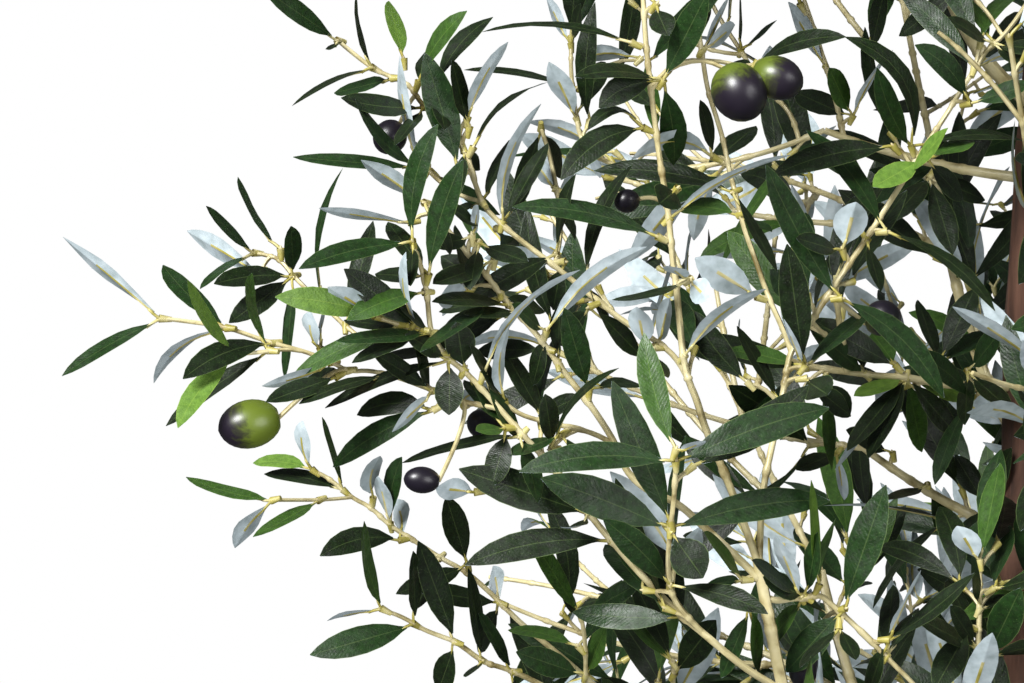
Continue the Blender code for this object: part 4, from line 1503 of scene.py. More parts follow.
@dataclass(frozen=True)
class Habit:
    """How the fine growth goes: sizes in metres, angles in degrees, and shares."""

    bough_radii: Pair = (0.0038, 0.0027)
    slim_radii: Pair = (0.0032, 0.0018)  # of the short boughs on the left
    stem_radii: Pair = (0.0019, 0.0012)
    twig_radii: Pair = (0.0012, 0.0009)
    spur_radii: Pair = (0.0011, 0.0010)
    stalk_radii: Pair = (0.0011, 0.0010)  # of an olive's stalk
    bough_swell: float = 1.12  # of its thickness, at its knots
    # The main stems, as in the solid model
    point_spacing: float = 0.006
    fork_shares: Pair = (0.16, 0.38)
    fork_turn: float = 34.0
    fork_length: float = 0.74
    fork_sag: float = -0.05
    steepest: float = 0.8  # rise of a side stem, past which it is led outwards as well
    led_turn: float = 80.0
    led_reach: float = 0.35
    spray_jitter: float = 0.014
    # The front growth; spur_gap, main_length and the widths are in pixels
    tip_share: float = 0.85  # of a main stem's radius, for a laid stem and beside its carrier
    thinnest_foot: float = 0.0012
    foot_growth: float = 2.5e-6  # for each pixel of a laid stem's length
    main_length: float = 140.0  # a shorter stem is a side stem
    spur_gap: float = 4.0  # nearer than this a cup sits on the stem itself
    spur_slant: float = 0.55  # how far before its cup a spur leaves the stem, of its length
    spur_bend: float = 0.14
    spur_lift: float = 0.002
    cup_set: float = 0.7  # of the cup's length, from its foot to the leaves in it
    cup_ways: tuple[float, ...] = (0.35, 1.3, 0.3)  # towards its leaves, its spur, its stem
    foreshortening: float = 1.04  # the least that a leaf is longer than it looks
    front_length: Pair = (0.050, 0.060)
    most_lean: float = 38.0
    leans: tuple[float, ...] = (1.0, 0.8, -0.6, -1.0)
    least_roll: float = 1.03  # least full width of a leaf over the width that shows
    front_width: Pair = (26.0, 33.0)
    narrow_base: float = 0.45  # of its full width, for a leaf that shows on edge
    narrow_scale: float = 30.0  # the width that shows over this is added to that share
    front_bow: Pair = (-0.02, 0.06)
    front_twist: Pair = (-0.25, 0.25)
    front_fold: Pair = (0.25, 0.50)
    flat_width: float = 16.0  # a leaf that looks narrower is folded less
    front_wave: float = 0.0006
    olive_nod: float = -0.25  # towards the camera
    stalk_end: float = 0.46  # of the olive's length, behind its middle
    stalk_rise: float = 0.22  # of the stalk's length
    stalk_bow: Pair = (0.6, 0.5)  # of that, up and back along the olive
    # The growth by rule
    node_spacing: float = 0.019
    node_jitter: Pair = (0.8, 1.2)
    first_node: Pair = (0.5, 1.2)  # of the spacing, as are the gaps below
    tip_gap: float = 0.4  # left bare before a tip
    node_turn: Pair = (0.7, 1.3)  # of half a turn, from one knot to the next
    bough_turn: Pair = (0.4, 0.7)
    bough_spacing: float = 1.5  # of the node spacing, on the bough itself
    bare_share: float = 0.38  # of a bough's length, from the trunk
    fill_in_share: float = 0.35  # of the front stems' knots that bear leaves behind the laid ones
    twig_share: float = 0.30  # of the nodes on a main stem that bear a long twig
    pair_share: float = 0.30  # of the nodes that bear a pair of leaves without a spur
    both_share: float = 0.35  # of the other nodes, with a spur on both sides
    twig_length: Pair = (0.045, 0.100)
    twig_spread: Pair = (32.0, 50.0)
    twig_scale: Pair = (1.15, 0.45)  # of that length at the parent's foot, and its loss to the tip
    twig_bow: Pair = (-0.007, 0.003)
    first_twig_node: Pair = (0.8, 1.3)
    twig_tip_gap: float = 0.5
    twig_turn: Pair = (0.4, 0.6)
    twig_jitter: Pair = (0.85, 1.15)
    spur_length: Pair = (0.006, 0.013)
    spur_spread: Pair = (34.0, 58.0)
    spur_bow: float = 0.0008
    pair_spread: Pair = (34.0, 62.0)
    tuft_spread: Pair = (22.0, 58.0)
    threes: tuple[float, ...] = (0.6, 0.5, 0.22)  # share of tufts of three: stem, twig, spur
    outwards: float = 0.18
    upwards: float = 0.12
    backwards: float = 0.7  # of what fills in behind the front
    leaf_length: Pair = (0.050, 0.068)
    leaf_width: Pair = (0.20, 0.28)  # of the length
    leaf_tries: int = 4
    leaf_turn: Pair = (-0.5, 0.5)  # radians round its stem, off its even place
    # Mean and spread of a leaf's roll, of its bow and sway for its length, and of its twist
    leaf_roll: Pair = (0.0, 0.5)
    leaf_bow: Pair = (0.05, 0.05)
    leaf_sway: Pair = (0.0, 0.035)
    leaf_twist: Pair = (0.0, 0.3)
    # Least and greatest fold and ripple of a leaf
    leaf_fold: Pair = (0.22, 0.50)
    leaf_wave: Pair = (0.0, 0.0008)
    # How strongly the sky, its stem and the light from outside turn a leaf's face
    sky_pull: float = 0.45
    stem_pull: float = 0.3
    outward_light: float = 0.8
    front_light: tuple[float, ...] = (-0.2, -1.0, 0.1)
    underside_share: float = 0.13
    print_shares: tuple[float, ...] = (0.48, 0.42, 0.07, 0.03)
    shell_reach: float = 0.27  # from the axis; past it the crown's outer leaves begin
    face_front: Pair = (0.75, 0.15)  # share of leaves that face the front, inside and outside
    front_start: float = -0.10  # y before which no leaf is turned to the front
    past_box: float = 0.004  # how far a leaf may reach past the solid model's box


HABIT = Habit()


@dataclass
class Stem:
    """A stem, a twig or a spur: its line, its thickness and its knots."""

    path: list[Vector]
    foot: float
    tip: float
    order: int
    swell: float = 1.3  # of the thickness, at its knots
    knots: list[float] = field(default_factory=list)

    def radius(self, share: float) -> float:
        """Give the thickness at a share of the length."""
        return self.foot + (self.tip - self.foot) * share

    def nearest_in_view(self, place: Sequence) -> tuple[float, float]:
        """Find where the stem passes nearest to a place of the camera's frame.

        Args:
            place: pixels from the left and from the top.

        Returns:
            The distance in pixels and the share of the stem's length.
        """
        aim = Vector(place)
        seen = [SIGHT.place(point) for point in self.path]
        found = []
        for index, (before, after) in enumerate(zip(seen, seen[1:])):
            span = after - before
            share = min(max((aim - before).dot(span) / max(span.length_squared, 1e-6), 0.0), 1.0)
            gap = (before + span * share - aim).length
            found.append((gap, (index + share) / (len(seen) - 1)))
        return min(found)


@dataclass
class Room:
    """What has grown, kept by place, so that a new leaf can stay clear of it."""

    cell: float = 0.05
    cells: dict[tuple[int, int, int], list[BVHTree]] = field(default_factory=dict)

    def _keys(self, points: list[Vector]) -> set[tuple[int, int, int]]:
        """List the cells that a shape's box touches.

        Args:
            points: the shape's corners.

        Returns:
            The cells, as whole steps from the origin.
        """
        low = [math.floor(min(point[axis] for point in points) / self.cell) for axis in range(3)]
        high = [math.floor(max(point[axis] for point in points) / self.cell) for axis in range(3)]
        return {
            (x, y, z)
            for x in range(low[0], high[0] + 1)
            for y in range(low[1], high[1] + 1)
            for z in range(low[2], high[2] + 1)
        }

    def add(self, points: list[Vector], faces: list[tuple[int, ...]]) -> None:
        """Keep a shape.

        Args:
            points: its corners.
            faces: its faces, as numbers of corners.
        """
        tree = BVHTree.FromPolygons(points, faces)
        for key in self._keys(points):
            self.cells.setdefault(key, []).append(tree)

    def is_clear(self, points: list[Vector], faces: list[tuple[int, ...]]) -> bool:
        """Test a shape against all that is kept.

        Args:
            points: its corners.
            faces: its faces, as numbers of corners.

        Returns:
            True if it cuts nothing.
        """
        tree = BVHTree.FromPolygons(points, faces)
        near = {id(other): other for key in self._keys(points) for other in self.cells.get(key, ())}
        return not any(tree.overlap(other) for other in near.values())

    def add_line(self, path: Sequence[Vector], radius: float) -> None:
        """Keep a stem as crossed ribbons.

        Args:
            path: its line.
            radius: its thickness.
        """
        for before, after in zip(path, path[1:]):
            side = (after - before).orthogonal().normalized() * radius
            points = []
            for way in (side, side.cross((after - before).normalized())):
                points += [before + way, before - way, after - way, after + way]
            self.add(points, [(0, 1, 2, 3), (4, 5, 6, 7)])


@dataclass
class Spray:
    """One mass of foliage: its main stems, and the twigs and leaves that grow on from them."""

    name: str
    bough: Stem
    room: Room
    stems: list[Stem] = field(default_factory=list)
    cups: list[tuple[Vector, Vector]] = field(default_factory=list)
    leaves: list[Leaf] = field(default_factory=list)
    olives: list[Olive] = field(default_factory=list)
    is_laid: bool = True  # whether what shows of it in the frame is laid place by place
    fills_in: bool = False  # whether what grows now fills in behind that

    def __post_init__(self) -> None:
        """Seed the draws: one for the main stems, as in the solid model, one for the rest."""
        self.draw = random.Random(f"{SEED} {self.name}")
        self.fine = random.Random(f"fine {SEED} {self.name}")

    @property
    def node(self) -> str:
        """The solid node that this spray is dressed round."""
        return f"foliage_{self.name}"

    def add_main(self, start: Sequence, tip: Sequence, bow: Sequence) -> None:
        """Add a main stem.

        Args:
            start: where it leaves its parent.
            tip: its tip.
            bow: how far its middle lies off the straight line.
        """
        reach = (Vector(tip) - Vector(start)).length
        path = curve_points(start, tip, bow, max(6, round(reach / HABIT.point_spacing)))
        self.stems.append(Stem(path, *HABIT.stem_radii, order=0))

    def fork(self, azimuth: float) -> None:
        """Add a side stem to each side of the main stem.

        Args:
            azimuth: the spray's bearing.
        """
        main = self.stems[0].path
        reach = (main[-1] - main[0]).length
        for side, share in zip((1, -1), HABIT.fork_shares):
            start, _ = point_on(main, share)
            swing = Matrix.Rotation(math.radians(side * HABIT.fork_turn), 3, "Z")
            ahead = swing @ (main[-1] - start)
            if abs(ahead.z) > HABIT.steepest * ahead.length:
                bearing = azimuth + side * HABIT.led_turn
                ahead += polar(bearing, HABIT.led_reach * ahead.length, 0.0)
            tip = start + ahead.normalized() * reach * HABIT.fork_length
            tip.z += self.draw.uniform(-HABIT.spray_jitter, HABIT.spray_jitter)
            self.add_main(start, tip, (0.0, 0.0, HABIT.fork_sag * reach))

    # -- the front, by its place in the frame ---------------------------------------------------

    def lay_stem(self, depth: float, line: Sequence) -> None:
        """Lay a stem along a line of the camera's frame.

        Args:
            depth: y of its tip.
            line: its places from its carrier to its tip.
        """
        _, carrier = self.carrier_at(line[0])
        share = carrier.nearest_in_view(line[0])[1]
        start, _ = point_on(carrier.path, share)
        seen = [SIGHT.place(start)] + [Vector(place) for place in line[1:]]
        gone = [0.0]
        for before, after in zip(seen, seen[1:]):
            gone.append(gone[-1] + (after - before).length)
        path = [
            SIGHT.point(place, start.y + (depth - start.y) * run / gone[-1])
            for place, run in zip(seen, gone)
        ]
        foot = min(
            HABIT.stem_radii[0],
            carrier.radius(share) * HABIT.tip_share,
            HABIT.thinnest_foot + gone[-1] * HABIT.foot_growth,
        )
        order = 0 if gone[-1] > HABIT.main_length else 1
        tip = HABIT.stem_radii[1] * HABIT.tip_share
        self.stems.append(Stem(smooth_line(path), foot, tip, order))

    def carrier_at(self, place: Sequence) -> tuple[float, Stem]:
        """Find the limb that passes nearest to a place of the camera's frame.

        Args:
            place: pixels from the left and from the top.

        Returns:
            The distance in pixels and the limb.
        """
        limbs = [stem for stem in self.stems if stem.order < 2] + [self.bough]
        gaps = [limb.nearest_in_view(place)[0] for limb in limbs]
        return min(gaps), limbs[gaps.index(min(gaps))]

    def lay_tuft(self, cup: Sequence, leaves: Sequence) -> None:
        """Set a cup at a place of the frame, on a spur from the nearest stem, with its leaves.

        Args:
            cup: the cup's place.
            leaves: for each leaf its tip's place, its width across the view, its look, and
                maybe its bow and its lean.
        """
        gap, stem = self.carrier_at(cup)
        has_spur = gap > HABIT.spur_gap
        share = stem.nearest_in_view(cup)[1]
        if has_spur:
            seen = length_of([SIGHT.place(point) for point in stem.path])
            share = max(share - gap * HABIT.spur_slant / seen, 0.0)
        start, ahead = point_on(stem.path, share)
        stem.knots.append(share)
        place = SIGHT.point(cup, start.y - HABIT.spur_lift) if has_spur else start
        tips = [self._tip_of(place, leaf) for leaf in leaves]
        way = sum(((tip - place).normalized() for tip in tips), Vector())
        to_leaves, along_spur, along_stem = HABIT.cup_ways
        if has_spur:
            spur = place - start
            path = curve_points(start, place, ahead * spur.length * HABIT.spur_bend, 4)
            self.stems.append(Stem(path, *HABIT.spur_radii, order=2))
            way = way * to_leaves + spur.normalized() * along_spur
        way = (way + ahead * along_stem).normalized()
        self.cups.append((place - way * CupPattern.length * HABIT.cup_set, way))
        for leaf, tip in zip(leaves, tips):
            self._lay_leaf(place, way, tip, leaf)

    def _tip_of(self, place: Vector, leaf: Sequence) -> Vector:
        """Find where the tip of a front leaf is.

        Args:
            place: the cup.
            leaf: its tip's place, width, look, and maybe bow and lean.

        Returns:
            The tip.
        """
        seen = (SIGHT.point(leaf[:2], place.y) - place).length
        if len(leaf) > 5:
            lean = math.radians(leaf[5])
        else:
            true = max(seen * HABIT.foreshortening, self.fine.uniform(*HABIT.front_length))
            lean = min(math.acos(min(1.0, seen / true)), math.radians(HABIT.most_lean))
            lean *= self.fine.choice(HABIT.leans)
        return SIGHT.point(leaf[:2], place.y - seen * math.tan(lean))

    def _lay_leaf(self, root: Vector, way: Vector, tip: Vector, leaf: Sequence) -> None:
        """Bear one leaf of the front.

        Args:
            root: where its stalk starts.
            way: the cup's way.
            tip: its tip.
            leaf: its tip's place, width, look, and maybe bow and lean.
        """
        fine = self.fine
        step = SIGHT.step(root.y)
        across, look = leaf[2], leaf[3]
        ahead = (tip - root).normalized()
        to_eye = square_to(Vector(SIGHT.eye) - root, ahead)
        narrow = min(1.0, HABIT.narrow_base + across / HABIT.narrow_scale)
        full = max(across * HABIT.least_roll, fine.uniform(*HABIT.front_width) * narrow)
        roll = math.acos(min(1.0, across / full))
        sides = [Matrix.Rotation(sign * roll, 3, ahead) @ to_eye for sign in (1, -1)]
        upper = -1.0 if look is Look.BACK else 1.0
        left = square_to(ahead.cross(to_eye), ahead) * -1.0
        bow = left * (leaf[4] * step if len(leaf) > 4 else 0.0)
        bow += to_eye * (tip - root).length * fine.uniform(*HABIT.front_bow)
        made = Leaf(
            root=root,
            tip=tip,
            facing=max(sides, key=lambda side: side.z * upper) * upper,
            width=full * step,
            look=look,
            bow=bow,
            spring=way,
            twist=fine.uniform(*HABIT.front_twist),
            fold=fine.uniform(*HABIT.front_fold) * min(1.0, across / HABIT.flat_width),
            wave=fine.uniform(0.0, HABIT.front_wave),
        )
        self.room.add(made.outline(), LOZENGE)
        self.leaves.append(made)

    def lay_olive(
        self,
        stalk: Sequence,
        middle: Sequence,
        length: float,
        width: float,
        turn: float,
        ripe: float,
        lift: float,
    ) -> None:
        """Hang an olive at a place of the frame, on a curved stalk.

        Args:
            stalk: the place where its stalk leaves the stem.
            middle: the place of its middle.
            length: its length in pixels.
            width: its width in pixels.
            turn: the way of its tip in degrees, from the frame's right towards its top.
            ripe: how ripe it is, from 0 to 1.
            lift: how far it hangs before its stem.
        """
        _, stem = self.carrier_at(stalk)
        start, _ = point_on(stem.path, stem.nearest_in_view(stalk)[1])
        centre = SIGHT.point(middle, start.y - lift)
        angle = math.radians(turn)
        way = Vector((math.cos(angle), HABIT.olive_nod, math.sin(angle))).normalized()
        step = SIGHT.step(centre.y)
        olive = Olive(centre, way, length * step, width * step, ripe)
        end = olive.middle - olive.way * olive.length * HABIT.stalk_end
        rise = (end - start).length * HABIT.stalk_rise
        up, back = HABIT.stalk_bow
        path = curve_points(start, end, UP * rise * up - olive.way * rise * back, 8)
        self.stems.append(Stem(path, *HABIT.stalk_radii, order=3))
        self.olives.append(olive)

    # -- the rest, by rule ------------------------------------------------------------------------

    def clothe(self) -> None:
        """Grow spurs and leaves on the bare upper part of the bough itself."""
        fine = self.fine
        step = HABIT.node_spacing * HABIT.bough_spacing / length_of(self.bough.path)
        place, turn = HABIT.bare_share, fine.uniform(0.0, math.pi)
        while place < 1.0 - step * HABIT.tip_gap:
            self.bough.knots.append(place)
            turn += math.pi * fine.uniform(*HABIT.bough_turn)
            point, _ = point_on(self.bough.path, place)
            if self.name not in FRONT_SPRAYS or not SIGHT.sees(point):
                self._node(self.bough, place, turn)
            place += step * fine.uniform(*HABIT.node_jitter)

    def grow(self, is_laid: bool) -> None:
        """Grow twigs, spurs and leaves along the main stems.

        Args:
            is_laid: whether the part in the camera's frame is laid already. Only a few leaves
                then fill in behind it.
        """
        fine = self.fine
        self.is_laid = is_laid
        if not is_laid:
            self._cut_back()
        for stem in [stem for stem in self.stems if stem.order < 2]:
            if is_laid and stem.order:
                continue
            step = HABIT.node_spacing / length_of(stem.path)
            place = step * fine.uniform(*HABIT.first_node)
            turn = fine.uniform(0.0, math.pi)
            while place < 1.0 - step * HABIT.tip_gap:
                turn += math.pi * fine.uniform(*HABIT.node_turn)
                point, _ = point_on(stem.path, place)
                self.fills_in = is_laid and SIGHT.sees(point)
                if fine.random() < (HABIT.fill_in_share if self.fills_in else 1.0):
                    stem.knots.append(place)
                    self._node(stem, place, turn)
                place += step * fine.uniform(*HABIT.node_jitter)
            tip, ahead = point_on(stem.path, 1.0)
            self.fills_in = False
            if not (is_laid and SIGHT.sees(tip)):
                self._tuft(tip, ahead, HABIT.threes[0])

    def _cut_back(self) -> None:
        """End each main stem where it would pass the edge of the crown's far side."""
        kept = []
        for stem in self.stems:
            past = [
                index
                for index, point in enumerate(stem.path)
                if SIGHT.is_past_edge(point) or SIGHT.is_before(point)
            ]
            stem.path = stem.path[: past[0]] if past else stem.path
            if len(stem.path) > 3:
                kept.append(stem)
        self.stems = kept

    def _node(self, stem: Stem, place: float, turn: float) -> None:
        """Let one knot bear a twig, a pair of leaves or spurs.

        Args:
            stem: its parent.
            place: share of the parent's length.
            turn: angle round the parent.
        """
        fine = self.fine
        start, ahead = point_on(stem.path, place)
        if SIGHT.is_open(start):
            return
        if stem.order == 0 and not self.fills_in and fine.random() < HABIT.twig_share:
            self._twig(stem, place, turn)
            turn += math.pi
        if fine.random() < HABIT.pair_share:
            for sign in (0.0, math.pi):
                self._leaf(start, ahead, turn + sign, HABIT.pair_spread)
            return
        for sign in (0.0, math.pi) if fine.random() < HABIT.both_share else (0.0,):
            way = self._aside(start, ahead, turn + sign, fine.uniform(*HABIT.spur_spread))
            end = start + way * fine.uniform(*HABIT.spur_length)
            path = curve_points(start, end, ahead * HABIT.spur_bow, 3)
            if self._tuft(end, way, HABIT.threes[2]):
                self.stems.append(Stem(path, *HABIT.spur_radii, order=2))

    def _aside(self, start: Vector, ahead: Vector, turn: float, spread_deg: float) -> Vector:
        """Turn away from a stem.

        Args:
            start: a point on it.
            ahead: its way there.
            turn: angle round it.
            spread_deg: angle off it.

        Returns:
            The way, leaning a little outwards and up.
        """
        plane = Matrix.Rotation(turn, 3, ahead) @ ahead.orthogonal().normalized()
        spread = math.radians(spread_deg)
        way = ahead * math.cos(spread) + plane * math.sin(spread)
        outward = Vector((start.x, start.y, 0.0)).normalized() * HABIT.outwards
        if self.fills_in:
            outward = Vector((0.0, HABIT.backwards, 0.0))
        return (way + outward + UP * HABIT.upwards).normalized()

    def _twig(self, stem: Stem, place: float, turn: float) -> None:
        """Grow one side twig with its own pairs and spurs.

        Args:
            stem: its parent.
            place: share of the parent's length.
            turn: angle round the parent.
        """
        fine = self.fine
        start, ahead = point_on(stem.path, place)
        way = self._aside(start, ahead, turn, fine.uniform(*HABIT.twig_spread))
        most, loss = HABIT.twig_scale
        reach = fine.uniform(*HABIT.twig_length) * (most - loss * place)
        path = curve_points(start, start + way * reach, UP * fine.uniform(*HABIT.twig_bow), 12)
        if any(SIGHT.is_open(point) for point in path[2:]):
            return
        twig = Stem(path, *HABIT.twig_radii, order=1)
        self.stems.append(twig)
        self.room.add_line(path[::3], HABIT.twig_radii[1])
        step = HABIT.node_spacing / reach
        along = step * fine.uniform(*HABIT.first_twig_node)
        while along < 1.0 - step * HABIT.twig_tip_gap:
            twig.knots.append(along)
            turn += math.pi * fine.uniform(*HABIT.twig_turn)
            self._node(twig, along, turn)
            along += step * fine.uniform(*HABIT.twig_jitter)
        end, ahead = point_on(path, 1.0)
        self._tuft(end, ahead, HABIT.threes[1])

    def _light(self, root: Vector) -> Vector:
        """Find where a leaf looks for light: outwards, or inside the crown to its front.

        Args:
            root: where the leaf grows.

        Returns:
            The way to the light.
        """
        outward = Vector((root.x, root.y, 0.0))
        inside, outside = HABIT.face_front
        share = inside if outward.length < HABIT.shell_reach else outside
        if root.y > HABIT.front_start and self.fine.random() < share:
            return Vector(HABIT.front_light)
        return outward.normalized() * HABIT.outward_light

    def _tuft(self, place: Vector, way: Vector, threes: float) -> bool:
        """Set a cup with two or three leaves.

        Args:
            place: the cup's foot.
            way: where it opens to.
            threes: the share of such cups that hold three.

        Returns:
            False if there was room for none of them, and so for no cup.
        """
        number = 3 if self.fine.random() < threes else 2
        turn = self.fine.uniform(0.0, math.pi)
        mouth = place + way * CupPattern.length * HABIT.cup_set
        before = len(self.leaves)
        for index in range(number):
            self._leaf(mouth, way, turn + index * math.tau / number, HABIT.tuft_spread)
        if len(self.leaves) > before:
            self.cups.append((place, way))
        return len(self.leaves) > before

    def _leaf(self, root: Vector, ahead: Vector, turn: float, spread_deg: Pair) -> None:
        """Bear one leaf, if there is room for it.

        Args:
            root: where its stalk starts.
            ahead: the way of what bears it.
            turn: angle round that.
            spread_deg: least and greatest angle off it.
        """
        fine = self.fine
        for _ in range(HABIT.leaf_tries):
            aside = turn + fine.uniform(*HABIT.leaf_turn)
            way = self._aside(root, ahead, aside, fine.uniform(*spread_deg))
            length = fine.uniform(*HABIT.leaf_length)
            light = self._light(root) + UP * HABIT.sky_pull + ahead * HABIT.stem_pull
            facing = square_to(light, way)
            roll = fine.gauss(*HABIT.leaf_roll)
            roll += math.pi if fine.random() < HABIT.underside_share else 0.0
            facing = Matrix.Rotation(roll, 3, way) @ facing
            leaf = Leaf(
                root=root,
                tip=root + way * length,
                facing=facing,
                width=length * fine.uniform(*HABIT.leaf_width),
                look=fine.choices(PRINTS, HABIT.print_shares)[0],
                bow=facing * length * fine.gauss(*HABIT.leaf_bow)
                + way.cross(facing) * length * fine.gauss(*HABIT.leaf_sway),
                spring=ahead,
                twist=fine.gauss(*HABIT.leaf_twist),
                fold=fine.uniform(*HABIT.leaf_fold),
                wave=fine.uniform(*HABIT.leaf_wave),
            )
            corners = leaf.outline()
            shown = corners + [corners[0].lerp(corners[2], 0.5)]
            if any(SIGHT.is_open(corner) for corner in shown):
                continue
            if not self.is_laid and any(SIGHT.is_before(corner) for corner in shown):
                continue
            if fine.random() > SIGHT.share_at(shown[-1]):
                return
            if self._is_inside(corners) and self.room.is_clear(corners, LOZENGE):
                self.room.add(corners, LOZENGE)
                self.leaves.append(leaf)
                return

    def _is_inside(self, corners: Iterable[Vector]) -> bool:
        """Tell whether corners stay within the solid model's box, or hardly past it."""
        low, high = CAD_BOX
        return all(
            low[axis] - HABIT.past_box < corner[axis] < high[axis] + HABIT.past_box
            for corner in corners
            for axis in range(3)
        )


# ---------------------------------------------------------------------------------------------
# Sub-assemblies
# ---------------------------------------------------------------------------------------------


@dataclass
class Trunk:
    """The stained wooden trunk, with grooves, knots and a flared foot cut flat."""

    # Height above the floor, sideways place of the axis and radius at each station
    stations: tuple[tuple[float, ...], ...] = (
        (0.1503, 0.000, 0.000, 0.036),
        (0.180, 0.000, 0.000, 0.028),
        (0.230, -0.002, 0.001, 0.0245),
        (0.380, -0.007, 0.004, 0.0230),
        (0.560, -0.009, 0.004, 0.0225),
        (0.720, -0.008, 0.000, 0.0215),
        (0.870, -0.0065, -0.002, 0.0205),
        (1.020, -0.0035, 0.000, 0.0188),
        (1.110, 0.001, 0.002, 0.0168),
        (1.190, 0.005, 0.004, 0.0142),
        (1.260, 0.008, 0.005, 0.0110),
    )
    rings: int = 150
    gather: float = 0.25  # how much closer the rings lie towards the foot
    sides: int = 44
    sharp_deg: float = 60.0
    # Depths of the relief, and how often it repeats round the trunk and up it
    groove: float = 0.0011
    groove_scale: Pair = (3.2, 9.0)
    flat: float = 0.0016
    flat_scale: Pair = (1.1, 5.0)
    knot: float = 0.004
    knot_scale: Pair = (2.0, 22.0)
    knot_start: float = 0.35  # of the noise; below it there is no knot
    relief_start: float = 0.01  # height over which the relief sets in above the foot's cut

    @property
    def ends(self) -> Pair:
        """The heights of its foot and its top."""
        return self.stations[0][0], self.stations[-1][0]

    def axis(self, height: float) -> tuple[Vector, float]:
        """Find the middle and the radius at a height.

        Args:
            height: height above the floor.

        Returns:
            The axis point and the radius.
        """
        heights, *columns = zip(*self.stations)
        x, y, radius = (float(np.interp(height, heights, column)) for column in columns)
        return Vector((x, y, height)), radius

    def build(self) -> None:
        """Raise the trunk ring by ring and press the grain into it."""
        low, high = self.ends
        mesh = bmesh.new()
        start, radius = self.axis(low)
        ring = bmesh.ops.create_circle(
            mesh,
            cap_ends=True,
            segments=self.sides,
            radius=radius,
            matrix=Matrix.Translation(start),
        )
        cap = ring["verts"][0].link_faces[0]
        for index in range(1, self.rings + 1):
            share = index / self.rings
            rise = self.gather * share**2 + (1.0 - self.gather) * share
            centre, after = self.axis(low + (high - low) * rise)
            grown = bmesh.ops.extrude_face_region(mesh, geom=[cap, *cap.edges])["geom"]
            cap = next(item for item in grown if isinstance(item, bmesh.types.BMFace))
            bmesh.ops.scale(
                mesh,
                verts=cap.verts,
                vec=(after / radius,) * 3,
                space=Matrix.Translation(-start),
            )
            bmesh.ops.translate(mesh, verts=cap.verts, vec=centre - start)
            start, radius = centre, after
        for vert in mesh.verts:
            self._press(vert)
        bmesh.ops.recalc_face_normals(mesh, faces=mesh.faces)
        data = smooth_data("trunk_wood", mesh, self.sharp_deg)
        add_piece(data, [TRUNK_WOOD], ["trunk"])

    def _press(self, vert: bmesh.types.BMVert) -> None:
        """Move one point in or out by the wood's grooves, flats and knots.

        Args:
            vert: the point.
        """
        centre, radius = self.axis(vert.co.z)
        out = Vector((vert.co.x - centre.x, vert.co.y - centre.y, 0.0))
        if out.length < radius * 0.5:
            return
        way = out.normalized()
        groove_at, flat_at, knot_at = (
            Vector((way.x * round_it, way.y * round_it, vert.co.z * up_it))
            for round_it, up_it in (self.groove_scale, self.flat_scale, self.knot_scale)
        )
        grain = noise.fractal(groove_at, 1.0, 2.0, 4)
        flats = noise.noise(flat_at)
        knots = max(0.0, noise.noise(knot_at) - self.knot_start)
        press = self.groove * grain + self.flat * flats + self.knot * knots
        foot = min(1.0, (vert.co.z - self.ends[0]) / self.relief_start)
        vert.co += way * press * max(0.0, foot)


